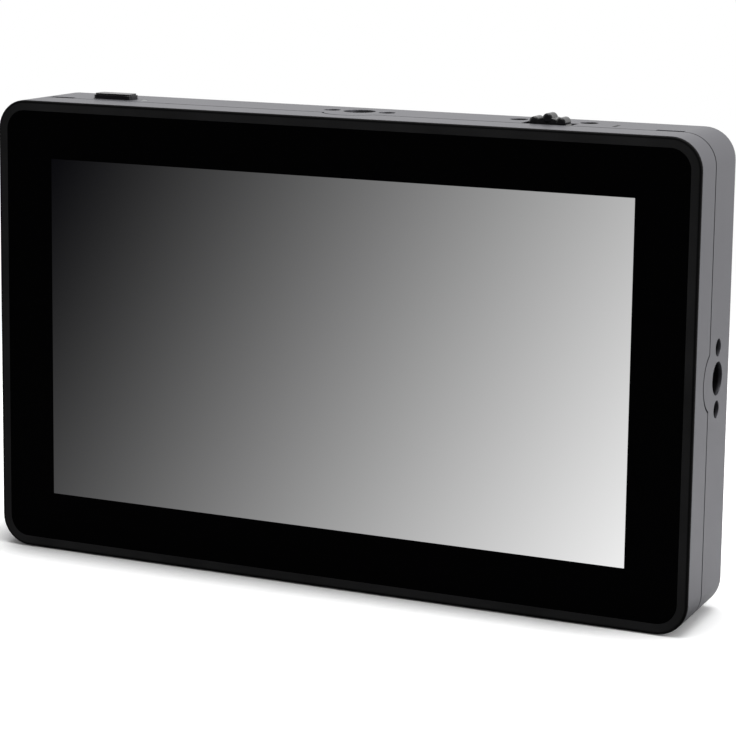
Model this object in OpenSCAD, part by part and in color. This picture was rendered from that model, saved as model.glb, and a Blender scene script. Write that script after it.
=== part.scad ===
// Camera field monitor, 5.5 inch class: a shallow two-part housing round a glass-fronted screen.
// The front faces -Y, the controls are on the top face and the battery plate is on the back.
// Depths are counted from the glass front towards the back, heights from the resting face.

/* [Housing] */
// Width of the housing, left to right
body_w = 146.3; // [144:0.1:160]
// Height of the housing, resting face to top face
body_h = 91.6; // [90:0.1:104]
// Depth of the housing, glass front to rear wall
body_d = 22.5; // [22:0.1:25]
// Corner radius of the housing, seen from the front
corner_r = 6; // [4.5:0.1:7.5]
// Rounding of the rear edge
rear_edge_r = 1.2; // [0.5:0.1:1.8]
// Wall thickness of both shells
wall = 2.2; // [1.9:0.1:2.6]
// Depth at which the front shell ends
seam_y = 8.7; // [8.5:0.1:9]
// Width of the groove along the parting line
seam_gap = 0.3; // [0.1:0.05:0.4]
// Length of the rear shell's tongue inside the front shell
tongue_d = 1.3; // [1:0.1:2]
// Radius of the bulges of the parting line round the tripod threads
bulge_r = 5.7; // [5.2:0.1:6.2]
// Distance of those bulges' centres in front of the threads' axes
bulge_fore = 3; // [2.5:0.1:3.5]

/* [Glass and screen] */
// Width of the black bezel round the glass
bezel_w = 2; // [1.6:0.1:2.4]
// Depth of the bezel that shows at the side
bezel_side = 0.6; // [0.4:0.1:1]
// Rounding of the bezel's front edge
bezel_edge_r = 0.35; // [0.2:0.05:0.4]
// Inset of the bezel's skirt from the housing's outline
skirt_inset = 1.3; // [1.1:0.1:1.5]
// Depth at which the bezel's skirt ends
skirt_end = 2.6; // [2.4:0.1:3]
// Thickness of the cover glass
glass_t = 1.1; // [0.7:0.1:1.3]
// Thickness of the adhesive tape behind the glass
tape_t = 0.3; // [0.1:0.1:0.4]
// Width of the ledge that carries the glass, from the outline
glass_ledge = 6; // [5:0.1:6.4]
// Black border left and right of the picture, from the housing's outline
side_border = 12.25; // [11.2:0.05:14]
// Black border above and below the picture, from the housing's outline
end_border = 11.55; // [10.8:0.05:13.8]
// Sideways offset of the picture area
screen_dx = -0.4; // [-0.6:0.1:0.6]
// Dark border of the display panel round the picture
panel_border = 2.5; // [1.5:0.1:2.8]
// Thickness of the display panel
panel_t = 1.4; // [1:0.1:2]
// Thickness of the backlight tray
light_t = 3.4; // [2.5:0.1:3.4]
// Width of the front shell's ledge, from the outline
shell_ledge = 6.8; // [6.5:0.1:7.2]
// Depth at which that ledge ends
ledge_end = 4.4; // [4:0.1:5]

/* [Mounting threads] */
// Diameter of the tripod thread, 1/4 inch
thread_d = 6.35; // [6.35:0.01:6.5]
// Diameter of the locating holes beside each thread
locate_d = 3.35; // [3:0.05:3.6]
// Distance from a thread to its locating holes
locate_gap = 5.82; // [5.6:0.01:6.4]
// Length of the metal block that holds a thread
block_w = 20; // [18:0.1:22]
// Height of that block, along the thread
block_h = 8.6; // [7.6:0.1:9]
// Thickness of that block, front to back
block_t = 9; // [8.4:0.1:9.2]
// Gap between that block and the rear wall
block_back = 1.5; // [1.2:0.1:1.7]
// Thickness of the block's screw ears
ear_t = 2.5; // [2:0.1:3]
// Length of each ear
ear_w = 6; // [5.6:0.1:6.4]
// Width of each ear, front to back
ear_d = 6; // [5:0.1:6.4]
// Height of the bosses under the ears
ear_boss = 4; // [3:0.1:4]
// Depth of the blind thread below the outer face
thread_l = 9.4; // [8:0.1:9.4]

/* [Top controls] */
// Distance of the power button's middle from the left side
power_in = 19.65; // [18.2:0.05:19.75]
// Depth of the power button's centre
power_y = 12.9; // [12.8:0.1:13.4]
// Length of the power button
power_w = 8.6; // [7:0.1:8.8]
// Width of the power button, front to back
power_t = 4; // [3.4:0.1:4.2]
// Height of the power button over the top face
power_proud = 1.1; // [0.8:0.1:1.4]
// Distance of the left function button from the wheel's middle
left_key_gap = 7.8; // [7.5:0.1:8.8]
// Distance of the right function button from the wheel's middle
right_key_gap = 6.2; // [6.2:0.1:7.3]
// Depth of the function buttons
round_key_y = 15.7; // [15.6:0.1:16.2]
// Diameter of the function buttons
round_key_d = 3.1; // [2.8:0.1:3.2]
// Travel of every button and of the wheel's click
key_travel = 0.5; // [0.3:0.05:0.6]
// Distance of the jog wheel's middle from the right side
wheel_in = 32.85; // [32.55:0.05:33.35]
// Radius of the jog wheel over its teeth
wheel_r = 6.2; // [5.8:0.1:6.2]
// Height of the jog wheel over the top face
wheel_proud = 2; // [1.6:0.1:2.2]
// Depth of the wheel's front face
wheel_y = 9.6; // [9.6:0.1:9.8]
// Thickness of the wheel
wheel_t = 3.5; // [3:0.1:3.6]
// Number of teeth on the wheel
wheel_teeth = 12; // [10:1:14]
// Radius of one tooth
tooth_r = 1; // [0.8:0.05:1.1]
// Diameter of the wheel's axle
axle_d = 2; // [1.6:0.1:2.2]
// Distance of the status light from the power button's middle
light_gap = 6.6; // [6.5:0.1:8.5]
// Diameter of the status light
light_d = 1.5; // [1:0.1:1.8]
// Distance of the two hood slots' middles from the sides
slot_in = 9.1; // [8.8:0.05:10.1]
// Length of a hood slot
slot_w = 5.4; // [4:0.1:6]
// Width of a hood slot, front to back
slot_t = 1.6; // [1.2:0.1:2]
// Depth of a hood slot into the wall
slot_deep = 0.9; // [0.5:0.1:0.9]

/* [Boards inside] */
// Depth of the front of the aluminium chassis plate
chassis_y = 6; // [6:0.1:6.2]
// Thickness of the chassis plate
chassis_t = 1; // [0.8:0.1:1.1]
// Room between the main board and the rear wall
board_room = 7.7; // [7.5:0.1:7.9]
// Thickness of the main board
board_t = 1.6; // [1:0.1:1.6]
// Height of the control board's upper face below the top face
control_drop = 14.6; // [14.5:0.1:14.8]
// Thickness of the control board
control_t = 1.2; // [0.8:0.1:1.4]
// Side of a push switch's square body
switch_w = 4.5; // [4:0.1:4.6]
// Height of a push switch's body
switch_h = 3.5; // [3:0.1:4]
// Height of the wheel's flat push switch
click_h = 1.9; // [1.6:0.1:2]
// Diameter of a switch plunger
plunger_d = 2.2; // [1.8:0.1:2.4]
// Width of the heat sink
sink_w = 34; // [28:0.5:38]
// Number of fins on the heat sink
sink_fins = 8; // [5:1:10]

/* [Sockets on the left] */
// Height of the power inlet's axis, as a share of the housing's height
dc_share = 0.762; // [0.755:0.001:0.768]
// Height of the first video socket, as a share of the housing's height
video_in_share = 0.606; // [0.602:0.001:0.61]
// Height of the second video socket, as a share of the housing's height
video_out_share = 0.415; // [0.406:0.001:0.424]
// Height of the headphone socket's axis, as a share of the housing's height
phone_share = 0.284; // [0.28:0.001:0.288]
// Height of the small data socket, as a share of the housing's height
data_share = 0.188; // [0.187:0.001:0.19]
// Length of a video socket's shell
video_w = 15; // [14.6:0.1:15.4]
// Thickness of a video socket's shell
video_t = 5.6; // [5.2:0.1:5.8]
// Diameter of the headphone socket
phone_d = 3.5; // [3.4:0.1:3.6]
// Diameter of the power inlet
dc_d = 5.7; // [5.5:0.1:6]
// Diameter of the pin in the power inlet
dc_pin_d = 2.1; // [1.6:0.1:2.5]

/* [Back] */
// Margin of the battery plate outside its rails
plate_margin = 0.6; // [0.4:0.1:2.4]
// Distance of the plate's upper edge below the top face
plate_drop = 15.1; // [14.6:0.1:16.6]
// Height of the plate's lower edge over the resting face
plate_z = 4.5; // [4:0.1:5]
// Depth of the pocket that holds the plate
plate_pocket = 1.2; // [0.8:0.1:1.3]
// Height of the plate's face over the rear wall
plate_proud = 0.5; // [0.3:0.1:1]
// Width of the battery between the rails
battery_w = 38.8; // [38.4:0.1:39.4]
// Height of the rails over the plate's face
rail_h = 4.2; // [4:0.1:5]
// Thickness of a rail
rail_t = 2; // [1.6:0.1:2.1]
// Reach of a rail's hooks over the battery's groove
hook_reach = 1.5; // [1:0.1:1.8]
// Thickness of the hooks
hook_t = 1.4; // [1:0.1:1.6]
// Length of one hook
hook_l = 9; // [7:0.1:10]
// Sideways spacing of the three contact blades
blade_pitch = 6.4; // [5.5:0.1:7]
// Width of the release button
release_w = 10; // [8:0.1:11]
// Height of the release button, seen from the back
release_h = 8; // [7:0.1:8.5]
// Travel of the release button
release_travel = 2.4; // [1.8:0.1:2.5]
// Wire diameter of the release spring
spring_wire = 0.45; // [0.3:0.05:0.5]
// Mean diameter of the release spring
spring_d = 4.4; // [3.6:0.1:4.8]
// Active turns of the release spring
spring_turns = 3.5; // [2.5:0.5:4]
// Number of vent slots on each side of the plate
vent_count = 8; // [4:1:9]
// Spacing of the vent slots
vent_pitch = 4.2; // [3.6:0.1:4.6]
// Width of one vent slot
vent_t = 1.8; // [1.2:0.1:2]
// Length of one vent slot
vent_l = 24; // [16:0.5:26]

/* [Hidden] */
$fn = 48;

eps = 0.01;          // overshoot of a cut past a face
fit = 0.15;          // gap between pieces of the housing that slip together
key_gap = 0.2;       // gap round a button in its opening
run_gap = 0.05;      // radial running fit of an axle or a plunger
thread_gap = 0.02;   // radial gap between a screw and its hole
wheel_gap = 0.3;     // gap round the jog wheel
glass_gap = 0.05;    // gap round the cover glass

// Depths through the stack
plate_y = body_d - plate_pocket;         // back of the battery plate's pocket
plate_face = body_d + plate_proud;       // face that the battery rests on
total_d = plate_face + rail_h;           // glass front to the rails' tips
front_y = -total_d / 2;                  // the glass front in the part's frame
ledge_y = glass_t + tape_t;              // front of the bezel's glass ledge
tape_inset = 0.3;                        // the tape's distance inside the glass's edge
panel_end = glass_t + panel_t;
light_end = panel_end + light_t;
chassis_end = chassis_y + chassis_t;
inner_d = body_d - wall;                 // inside face of the rear wall
mid_z = body_h / 2;
block_y = inner_d - block_back - block_t;       // front face of the thread blocks
mount_y = block_y + block_t / 2;         // depth of the threads' axes
bulge_y = mount_y - bulge_fore;
locate_deep = 3;                         // depth of the locating holes behind the wall
board_end = inner_d - board_room;        // back of the main board
board_y = board_end - board_t;

// Display
screen_w = body_w - 2 * side_border;
screen_h = body_h - 2 * end_border;
panel_w = screen_w + 2 * panel_border;
panel_h = screen_h + 2 * panel_border;
panel_z = mid_z - panel_h / 2;           // lower edge of the panel
flex_w = 30;
flex_t = 0.2;
flex_reach = 2;                          // how far the ribbon goes into its connector
flex_slack = 0.1;                        // room round the ribbon in its connector
flex_notch = 1;                          // room round it where it passes the chassis plate
zif_h = 3;                               // height of the flex connector
zif_lip = 0.5;                           // its thickness in front of the ribbon
zif_end = 2;                             // its reach past the ribbon's edges
zif_rise = 8;                            // its height over the panel's lower edge
zif_z = panel_z + zif_rise;
tray_dent = 0.6;                         // depth of the pressings in the backlight's tray
tray_dents = 5;
tray_dent_w = 12;
tray_dent_in = 10;                       // their distance from the tray's lower and upper edges
flex_gap = 0.4;                          // room between the ribbon and the lower thread block
flex_y = block_y - flex_gap - flex_t;    // depth of the ribbon's run along the board

// Screws: shank radius, head radius, head height
m25_r = 1.25;
m25_head_r = 2.25;
m25_head_h = 1.6;
m2_r = 1;
m2_head_r = 1.9;
m2_head_h = 1.3;
head_gap = 0.3;                          // room round a sunk screw head
drive_r = 0.5;                           // a head's hexagon recess, as a share of its radius
drive_z = 0.45;                          // floor of that recess, as a share of the head's height
tip_gap = 0.1;                           // room at the tip of a screw in a short post

// Corner bosses that the housing screws join
corner_in = 6.3;                         // their distance from both outer faces
corner_boss_r = 3.1;
corner_split = 12;                       // depth where front boss and rear tube meet
corner_sink = 0.8;                       // how deep a housing screw's head is sunk
corner_head_y = body_d - corner_sink;
corner_seat_y = corner_head_y - m25_head_h;
corner_tip_y = 6.5;                      // depth of a housing screw's tip
corner_tip_gap = 0.5;                    // room in front of that tip

// Posts that carry the chassis plate
post_r = 2.4;
post_in = wall + m2_head_r + 0.2;        // their distance from the side faces
post_dz = 20;                            // their height over and under the middle
chassis_in = 3;                          // inset of the plate from the housing's outline
chassis_gap = 0.6;                       // room round the corner bosses
window_x = screen_w / 4;                 // windows in the plate: place, width, height, rounding
window_w = 30;
window_share = 0.38;                     // their height as a share of the picture's
window_h = screen_h * window_share;
window_r = 4;

ear_boss_r = 2.6;                        // bosses that the thread blocks are screwed to
ear_bite = 0.4;                          // how far their screws reach into the wall
ear_tip_gap = 0.2;                       // room at the tips of those screws

// Boards
control_z = body_h - control_drop;       // upper face of the control board
control_z0 = control_z - control_t;
board_gap = 0.8;
board_block_gap = 1.4;                   // room over the lower thread block
board_side_gap = 4;                      // room beside the side thread block
board_x0 = -(body_w / 2 - wall - board_gap);
board_x1 = body_w / 2 - wall - block_h - board_side_gap;
board_z0 = wall + block_h + board_block_gap;
board_z1 = control_z0 - board_gap;
standoff_r = 2.6;
standoff_side = 21.15;                   // distance of the standoffs from the housing's sides
standoff_x = [for (s = [-1, 1]) s * (body_w / 2 - standoff_side)];
standoff_in = 6;                         // standoffs from the board's lower and upper edges
control_left = 14.15;                    // distances of the control board from the sides
control_right = 18.15;
control_x0 = control_left - body_w / 2;
control_x1 = body_w / 2 - control_right;
control_y0 = 7.4;                        // in line with the front of the wheel's frame
control_y1 = inner_d - 0.9;
power_x = power_in - body_w / 2;
light_x = power_x + light_gap;
wheel_x = body_w / 2 - wheel_in;
left_key_x = wheel_x - left_key_gap;
right_key_x = wheel_x + right_key_gap;
slot_x = body_w / 2 - slot_in;
hanger_side = 5.7;                       // distance of the right boss from the left function button
hanger_x = [-30, left_key_x - hanger_side];   // bosses that the control board hangs from
hanger_r = 2.5;
hanger_y = board_end + m2_head_r + 0.4;  // their screws' heads pass behind the main board
hanger_screw_l = 6;                      // reach of the control board's screws above the board
chip_w = 18;
chip_t = 1.4;
pad_t = 0.5;
pad_inset = 1;
chip_x = 12;
sink_base = 1.5;
sink_y = board_end + chip_t + pad_t;
sink_end = inner_d - 0.7;
fin_t = 1.2;
link_x = -20;
link_w = 16;
link_t = 2.5;
link_h = 4.4;
link_pins = 7;
link_pitch = 2;
link_pin_r = 0.3;

// Buttons
flange_t = 0.8;
flange_w = 0.6;                          // reach of a button's flange under the wall
flange_z = body_h - wall - key_gap;      // upper face of that flange
stem_r = 1.2;
plunger_rise = 3;                        // the plungers' height over their switches
plunger_top = control_z + switch_h + plunger_rise;
switch_floor = 1;                        // height of the hollow's floor in a switch
foot_gap = 0.2;                          // room left under a fully pressed plunger
plunger_foot = control_z + switch_floor + key_travel + foot_gap;
power_r = 1;                             // corner rounding of the power button
power_step = 0.3;                        // bevel of its upper edge
round_key_sink = 0.1;                    // how far the function buttons lie below the face
round_flange_r = round_key_d / 2 + 0.55;
light_fit = 0.1;                         // gap round the light guide
light_sink = 0.05;                       // how far its end lies below the face
light_flange = 0.4;                      // reach and thickness of its collar under the wall
light_flange_t = 0.8;
led_w = 2;
led_t = 1.2;
led_h = 0.8;

// Jog wheel
wheel_z = body_h + wheel_proud - wheel_r;
wheel_end = wheel_y + wheel_t;
cheek_t = 0.9;
cheek_w = 6.4;
cheek_front = wheel_y - wheel_gap - cheek_t;
cheek_rear = wheel_end + wheel_gap;
cheek_top = wheel_z + axle_d / 2 + 0.7;
dish_deep = 0.5;                         // hollow in both faces of the wheel
dish_rim = 0.4;                          // its distance from the feet of the teeth
hub_rim = 0.8;                           // thickness of the hub round the axle
bridge_t = 1;
bridge_z = wheel_z - wheel_r - key_travel - bridge_t;
guide_t = 0.8;
guide_gap = 0.2;
guide_w = 7.4;
guide_top = wheel_z - 1.4;
base_side = 0.7;                         // thickness of the low sides of the yoke's frame
base_drop = 0.4;                         // how far they stay below the switch's top
click_y = (cheek_front + cheek_rear + cheek_t) / 2;   // depth of the switch under the yoke
click_floor = 0.5;                       // height of the hollow's floor in that switch
click_gap = 0.1;                         // room left under its fully pressed plunger

// Left sockets
dc_z = dc_share * body_h;
video_in_z = video_in_share * body_h;
video_out_z = video_out_share * body_h;
phone_z = phone_share * body_h;
data_z = data_share * body_h;
socket_y = board_end;                    // sockets stand on the back of the main board
socket_x = -(body_w / 2 - 0.5);          // their mouths, just inside the outer face
socket_gap = 0.3;
socket_body_x = socket_x + wall + 0.4;   // where the sockets' bodies begin, inside the wall
nose_l = wall + 1;                       // length of a round socket's nose through the wall
video_deep = 11;
video_skin = 0.35;
video_back = 2;                          // thickness of its closed end
video_corner = 0.8;                      // rounding of its opening in the wall
video_y = socket_y + video_t / 2;
tongue_w = 11;
tongue_t = 1;
tongue_off = 0.3;                        // its distance from the socket's middle
tongue_in = 1.5;                         // its distance inside the mouth
phone_body = 6;
phone_deep = 13;
phone_nose_r = phone_body / 2 - 0.2;
phone_y = socket_y + phone_body / 2;
data_w = 8.94;
data_t = 3.26;
data_deep = 7.4;
data_skin = 0.3;
data_rise = 0.4;                         // its height over the board, on its feet
data_y = socket_y + data_t / 2 + data_rise;
data_tongue_w = 6.6;
data_tongue_t = 0.7;
data_tongue_in = 0.6;
data_foot_w = 1;
data_foot_dz = 2.4;                      // its feet over and under its middle
dc_body_w = 9;
dc_body_t = 7.4;
dc_deep = 13;
dc_nose_r = dc_d / 2 + 0.7;
dc_y = socket_y + dc_body_t / 2;
dc_floor = 2;                            // thickness behind its bore
dc_pin_in = 1;                           // the pin's distance inside the mouth

// Battery plate
plate_w = battery_w + 2 * (rail_t + plate_margin);
plate_h = body_h - plate_z - plate_drop;
rail_x = battery_w / 2;
rail_end = 3;                            // the rails' distance from the plate's lower edge
rail_head = 5;                           // and from its upper edge
rail_l = plate_h - rail_end - rail_head;
rail_z0 = plate_z + rail_end;
plate_screw_x = 15;
plate_screw_low = 12;                    // the lower screws' height over the plate's edge
plate_screw_high = 5.5;                  // the upper screws' distance from its upper edge
plate_screw_z = [plate_z + plate_screw_low, plate_z + plate_h - plate_screw_high];
plate_boss_r = 2.7;
plate_boss_l = 3;
plate_sink = 0.9;                        // depth of the countersinks for the plate's screws
plate_head_h = 0.85;
plate_tip_gap = 0.2;
hook_low = 5;                            // the hooks' distances from the rails' ends
hook_high = 12;
contact_w = 20;
contact_rise = 4;                        // height of the contact block over the plate's edge
contact_z = plate_z + contact_rise;
contact_h = 7;
contact_t = 4;
blade_w = 2.6;
blade_t = 0.8;
blade_l = 6;                             // its free length above the contact block
blade_y = plate_face + 0.7;
tail_rise = 5.6;                         // height of the contacts' tails over the block's foot
tail_z = contact_z + tail_rise;
tail_r = 0.5;
tail_gap = 0.6;                          // room round a contact's tail in the plate and the shell
tail_slack = 0.25;                       // room round it in the contact block
blade_slack = 0.1;                       // room round a blade there
release_drop = 8.5;                      // its middle below the plate's upper edge
release_z = plate_z + plate_h - release_drop;
release_flange = 0.9;                    // reach of its flange under the plate
release_flange_t = 1;
release_top = plate_face + release_travel;
release_slope = 3.2;                     // height of its sloping upper side
grip_count = 3;                          // grooves in the plate under the release button
grip_drop = 14;                          // the first one's distance below the button's middle
grip_w = 24;
grip_t = 1.4;
grip_pitch = 4;
grip_deep = 0.4;
cup_gap = 0.3;
cup_w = release_w + 2 * (release_flange + cup_gap);
cup_h = release_h + 2 * (release_flange + cup_gap);
cup_wall = 1.1;
flange_y = plate_y - 0.1;                // rear face of the release button's flange
spring_l = 4.7;
cup_floor = flange_y - release_flange_t - spring_l;
spring_fit = 0.1;
spring_steps = 14;                       // sections per turn of the wire
wire_sides = 6;

// Heat sink: it fills the room between the plate's lower screws and the release button's cup
sink_gap_low = 5.8;
sink_gap_high = 2.7;
sink_z0 = plate_screw_z[0] + plate_boss_r + sink_gap_low;
sink_z1 = release_z - cup_h / 2 - cup_wall - sink_gap_high;
chip_z = (sink_z0 + sink_z1) / 2;

// ---------------------------------------------------------------- helpers

module at_frame() translate([0, front_y, 0]) children();

// A flat shape seen from the front, given thickness from depth y0 to depth y1
module slab(y0, y1) {
    translate([0, y1, 0]) rotate([90, 0, 0]) linear_extrude(y1 - y0) children();
}

module round_rect(w, h, r) {
    square([w - 2 * r, h], center = true);
    square([w, h - 2 * r], center = true);
    for (sx = [-1, 1], sy = [-1, 1]) translate([sx * (w / 2 - r), sy * (h / 2 - r)]) circle(r);
}

// The housing's outline, drawn in by an inset
module outline(inset) {
    translate([0, mid_z])
        round_rect(body_w - 2 * inset, body_h - 2 * inset, max(corner_r - inset, 0.4));
}

module rod_x(x0, x1, y, z, r) translate([x0, y, z]) rotate([0, 90, 0]) cylinder(h = x1 - x0, r = r);

module rod_y(x, y0, y1, z, r) translate([x, y0, z]) rotate([-90, 0, 0]) cylinder(h = y1 - y0, r = r);

module rod_z(x, y, z0, z1, r) translate([x, y, z0]) cylinder(h = z1 - z0, r = r);

module box(x0, x1, y0, y1, z0, z1) translate([x0, y0, z0]) cube([x1 - x0, y1 - y0, z1 - z0]);

// Half of a wall's section: square at the front, rounded where it meets the rear
module soft_profile(len, d, e) {
    square([len - e, d]);
    square([len, d - e]);
    translate([len - e, d - e]) intersection() {
        circle(e);
        square(e);
    }
}

// A block of the housing's outline from depth y0 to y1 with a rounded rear edge: a core, four
// straight strips round it and a quarter turn of the same section at every corner
module soft_block(y0, y1, e) {
    core_w = body_w - 2 * corner_r;
    core_h = body_h - 2 * corner_r;
    d = y1 - y0;
    translate([0, y0, mid_z]) {
        translate([-core_w / 2, 0, -core_h / 2]) cube([core_w, d, core_h]);
        for (k = [0 : 3]) {
            across = k % 2 == 0 ? core_w : core_h;
            up = k % 2 == 0 ? core_h : core_w;
            rotate([0, 90 * k, 0]) {
                translate([across / 2, 0, up / 2]) rotate([0, -90, 0])
                    linear_extrude(across) soft_profile(corner_r, d, e);
                translate([across / 2, 0, -up / 2]) rotate([-90, 0, 0])
                    rotate_extrude(angle = 90) soft_profile(corner_r, d, e);
            }
        }
    }
}

// Three mounting faces: top, right side and bottom. Z points out of the housing there.
module at_top() translate([0, mount_y, body_h]) children();

module at_side() translate([body_w / 2, mount_y, mid_z]) rotate([0, 90, 0]) children();

module at_bottom() translate([0, mount_y, 0]) rotate([0, 180, 0]) children();

module at_mounts() {
    at_top() children();
    at_side() children();
    at_bottom() children();
}

module at_corners() {
    for (sx = [-1, 1], z = [corner_in, body_h - corner_in])
        translate([sx * (body_w / 2 - corner_in), 0, z]) children();
}

// A pan-head screw along +Y: head from y_head to y_seat, shank on to y_tip, all seen from behind
module screw_y(x, z, y_tip, y_seat, shank, head, head_h) {
    rod_y(x, y_tip, y_seat + eps, z, shank);
    difference() {
        rod_y(x, y_seat, y_seat + head_h, z, head);
        translate([x, y_seat + head_h * drive_z, z]) rotate([-90, 0, 0])
            cylinder(h = head_h, r = head * drive_r, $fn = 6);
    }
}

// ---------------------------------------------------------------- glass and screen

module cover_glass() color([0.02, 0.02, 0.022]) at_frame()
    slab(0, glass_t) outline(bezel_w + glass_gap);

module glass_tape() color([0.05, 0.05, 0.05]) at_frame() difference() {
    slab(glass_t, ledge_y) outline(bezel_w + tape_inset);
    slab(0, ledge_y + 1) outline(glass_ledge);
}

module bezel() color([0.1, 0.1, 0.105]) at_frame() difference() {
    union() {
        translate([0, bezel_side, 0]) mirror([0, 1, 0]) soft_block(0, bezel_side, bezel_edge_r);
        slab(bezel_side - eps, skirt_end) outline(skirt_inset);
    }
    slab(-1, ledge_y) outline(bezel_w);
    slab(-1, skirt_end + 1) outline(glass_ledge);
}

module display_panel() color([0.12, 0.12, 0.14]) at_frame()
    translate([screen_dx, 0, 0])
        box(-panel_w / 2, panel_w / 2, glass_t, panel_end, panel_z, panel_z + panel_h);

module backlight() color("gainsboro") at_frame() translate([screen_dx, 0, 0]) difference() {
    box(-panel_w / 2, panel_w / 2, panel_end, light_end, panel_z, panel_z + panel_h);
    for (k = [1 : tray_dents])
        translate([(k / (tray_dents + 1) - 0.5) * panel_w, 0, 0])
            box(-tray_dent_w / 2, tray_dent_w / 2, light_end - tray_dent, light_end + 1,
                panel_z + tray_dent_in, panel_z + panel_h - tray_dent_in);
}

// Ribbon from the panel's lower edge, under the backlight and up to the main board
module display_flex() color("orange") at_frame() {
    box(-flex_w / 2, flex_w / 2, ledge_y, flex_y + flex_t, panel_z - flex_t, panel_z);
    box(-flex_w / 2, flex_w / 2, flex_y, flex_y + flex_t, panel_z - flex_t, zif_z + flex_reach);
}

module flex_connector() color("ivory") at_frame() difference() {
    box(-flex_w / 2 - zif_end, flex_w / 2 + zif_end, flex_y - zif_lip, board_y, zif_z, zif_z + zif_h);
    box(-flex_w / 2 - 2 * flex_slack, flex_w / 2 + 2 * flex_slack, flex_y - flex_slack,
        flex_y + flex_t + flex_slack, zif_z - 1, zif_z + flex_reach + flex_slack);
}

module at_posts() {
    for (sx = [-1, 1], sz = [-1, 1])
        translate([sx * (body_w / 2 - post_in), 0, mid_z + sz * post_dz]) children();
}

module at_standoffs() {
    for (x = standoff_x, z = [board_z0 + standoff_in, board_z1 - standoff_in])
        translate([x, 0, z]) children();
}

// Pressed aluminium plate behind the backlight, with the main board's standoffs
module chassis_plate() color("silver") at_frame() difference() {
    union() {
        slab(chassis_y, chassis_end) outline(chassis_in);
        at_standoffs() rod_y(0, chassis_end - eps, board_y, 0, standoff_r);
    }
    at_corners() rod_y(0, 0, body_d, 0, corner_boss_r + chassis_gap);
    at_posts() rod_y(0, 0, body_d, 0, m2_r + fit);
    at_standoffs() rod_y(0, chassis_y - 1, board_y + 1, 0, m25_r + thread_gap);
    box(-flex_w / 2 - 2 * flex_notch, flex_w / 2 + 2 * flex_notch, chassis_y - 1, chassis_end + 1,
        panel_z - flex_t - flex_notch, panel_z - flex_t + flex_notch);
    // In a shallower housing the ribbon's connector reaches forward into this plate's room
    if (flex_y - zif_lip < chassis_end + flex_notch)
        box(-flex_w / 2 - zif_end - flex_notch, flex_w / 2 + zif_end + flex_notch,
            chassis_y - 1, chassis_end + 1,
            panel_z - flex_t - flex_notch, zif_z + zif_h + flex_notch);
    for (k = [-1, 1])
        slab(chassis_y - 1, chassis_end + 1)
            translate([k * window_x, mid_z]) round_rect(window_w, window_h, window_r);
}

module chassis_screws() color("silver") at_frame()
    at_posts() screw_y(0, 0, ledge_end + tip_gap, chassis_end, m2_r, m2_head_r, m2_head_h);

// ---------------------------------------------------------------- housing

module front_shell() color([0.48, 0.48, 0.5]) at_frame() difference() {
    union() {
        difference() {
            slab(bezel_side, seam_y) outline(0);
            slab(bezel_side - 1, skirt_end) outline(skirt_inset - fit);
            slab(0, seam_y) outline(shell_ledge);
            slab(ledge_end, seam_y + 1) outline(wall);
            slab(seam_y - tongue_d, seam_y + 1) outline(wall / 2);
        }
        at_posts() rod_y(0, ledge_end - 1, chassis_y, 0, post_r);
        at_corners() rod_y(0, ledge_end - 1, corner_split, 0, corner_boss_r);
    }
    at_posts() rod_y(0, ledge_end - tip_gap, chassis_y + 1, 0, m2_r + thread_gap);
    at_corners() rod_y(0, corner_tip_y - corner_tip_gap, corner_split + 1, 0, m25_r + thread_gap);
    at_mounts() translate([0, bulge_y - mount_y, -wall - 1])
        cylinder(h = wall + 2, r = bulge_r + seam_gap);
}

// A blind thread, through the wall into the block, and a locating hole on either side of it
module mount_holes() {
    translate([0, 0, -thread_l]) cylinder(h = thread_l + 1, r = thread_d / 2);
    for (s = [-1, 1])
        translate([s * locate_gap, 0, -wall - locate_deep])
            cylinder(h = wall + locate_deep + 1, r = locate_d / 2);
}

module ear_places() {
    for (s = [-1, 1]) translate([s * (block_w / 2 + ear_w / 2), 0, 0]) children();
}

// Everything that opens the top wall: the buttons, the wheel, the status light
module top_openings() {
    slab_top(power_x, power_y, power_w + 2 * key_gap, power_t + 2 * key_gap, 1);
    for (x = [left_key_x, right_key_x])
        rod_z(x, round_key_y, body_h - wall - 1, body_h + 1, round_key_d / 2 + key_gap);
    rod_z(light_x, power_y, body_h - wall - 1, body_h + 1, light_d / 2 + light_fit);
    // the wheel's opening runs out into the parting line, so no sliver is left in front of it
    rod_y(wheel_x, seam_y, wheel_end + wheel_gap, wheel_z, wheel_r + wheel_gap);
    // relief under the top wall over the wheel's yoke
    box(wheel_x - cheek_w / 2 - wheel_gap, wheel_x + cheek_w / 2 + wheel_gap, cheek_front - wheel_gap,
        cheek_rear + cheek_t + wheel_gap, body_h - wall - 1, cheek_top + guide_gap);
}

module slab_top(x, y, w, t, r) {
    translate([x, y, body_h - wall - 1]) linear_extrude(wall + 2) round_rect(w, t, r);
}

// Openings for the sockets in the left wall
module socket_openings() {
    x0 = -body_w / 2 - 1;
    x1 = -body_w / 2 + wall + 1;
    for (z = [video_in_z, video_out_z])
        translate([x0, video_y, z]) rotate([0, 90, 0])
            linear_extrude(x1 - x0)
                round_rect(video_w + 2 * socket_gap, video_t + 2 * socket_gap, video_corner);
    rod_x(x0, x1, phone_y, phone_z, phone_nose_r + socket_gap);
    translate([x0, data_y, data_z]) rotate([0, 90, 0])
        linear_extrude(x1 - x0)
            round_rect(data_w + 2 * socket_gap, data_t + 2 * socket_gap, data_t / 2 + socket_gap - eps);
    rod_x(x0, x1, dc_y, dc_z, dc_nose_r + socket_gap);
}

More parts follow.
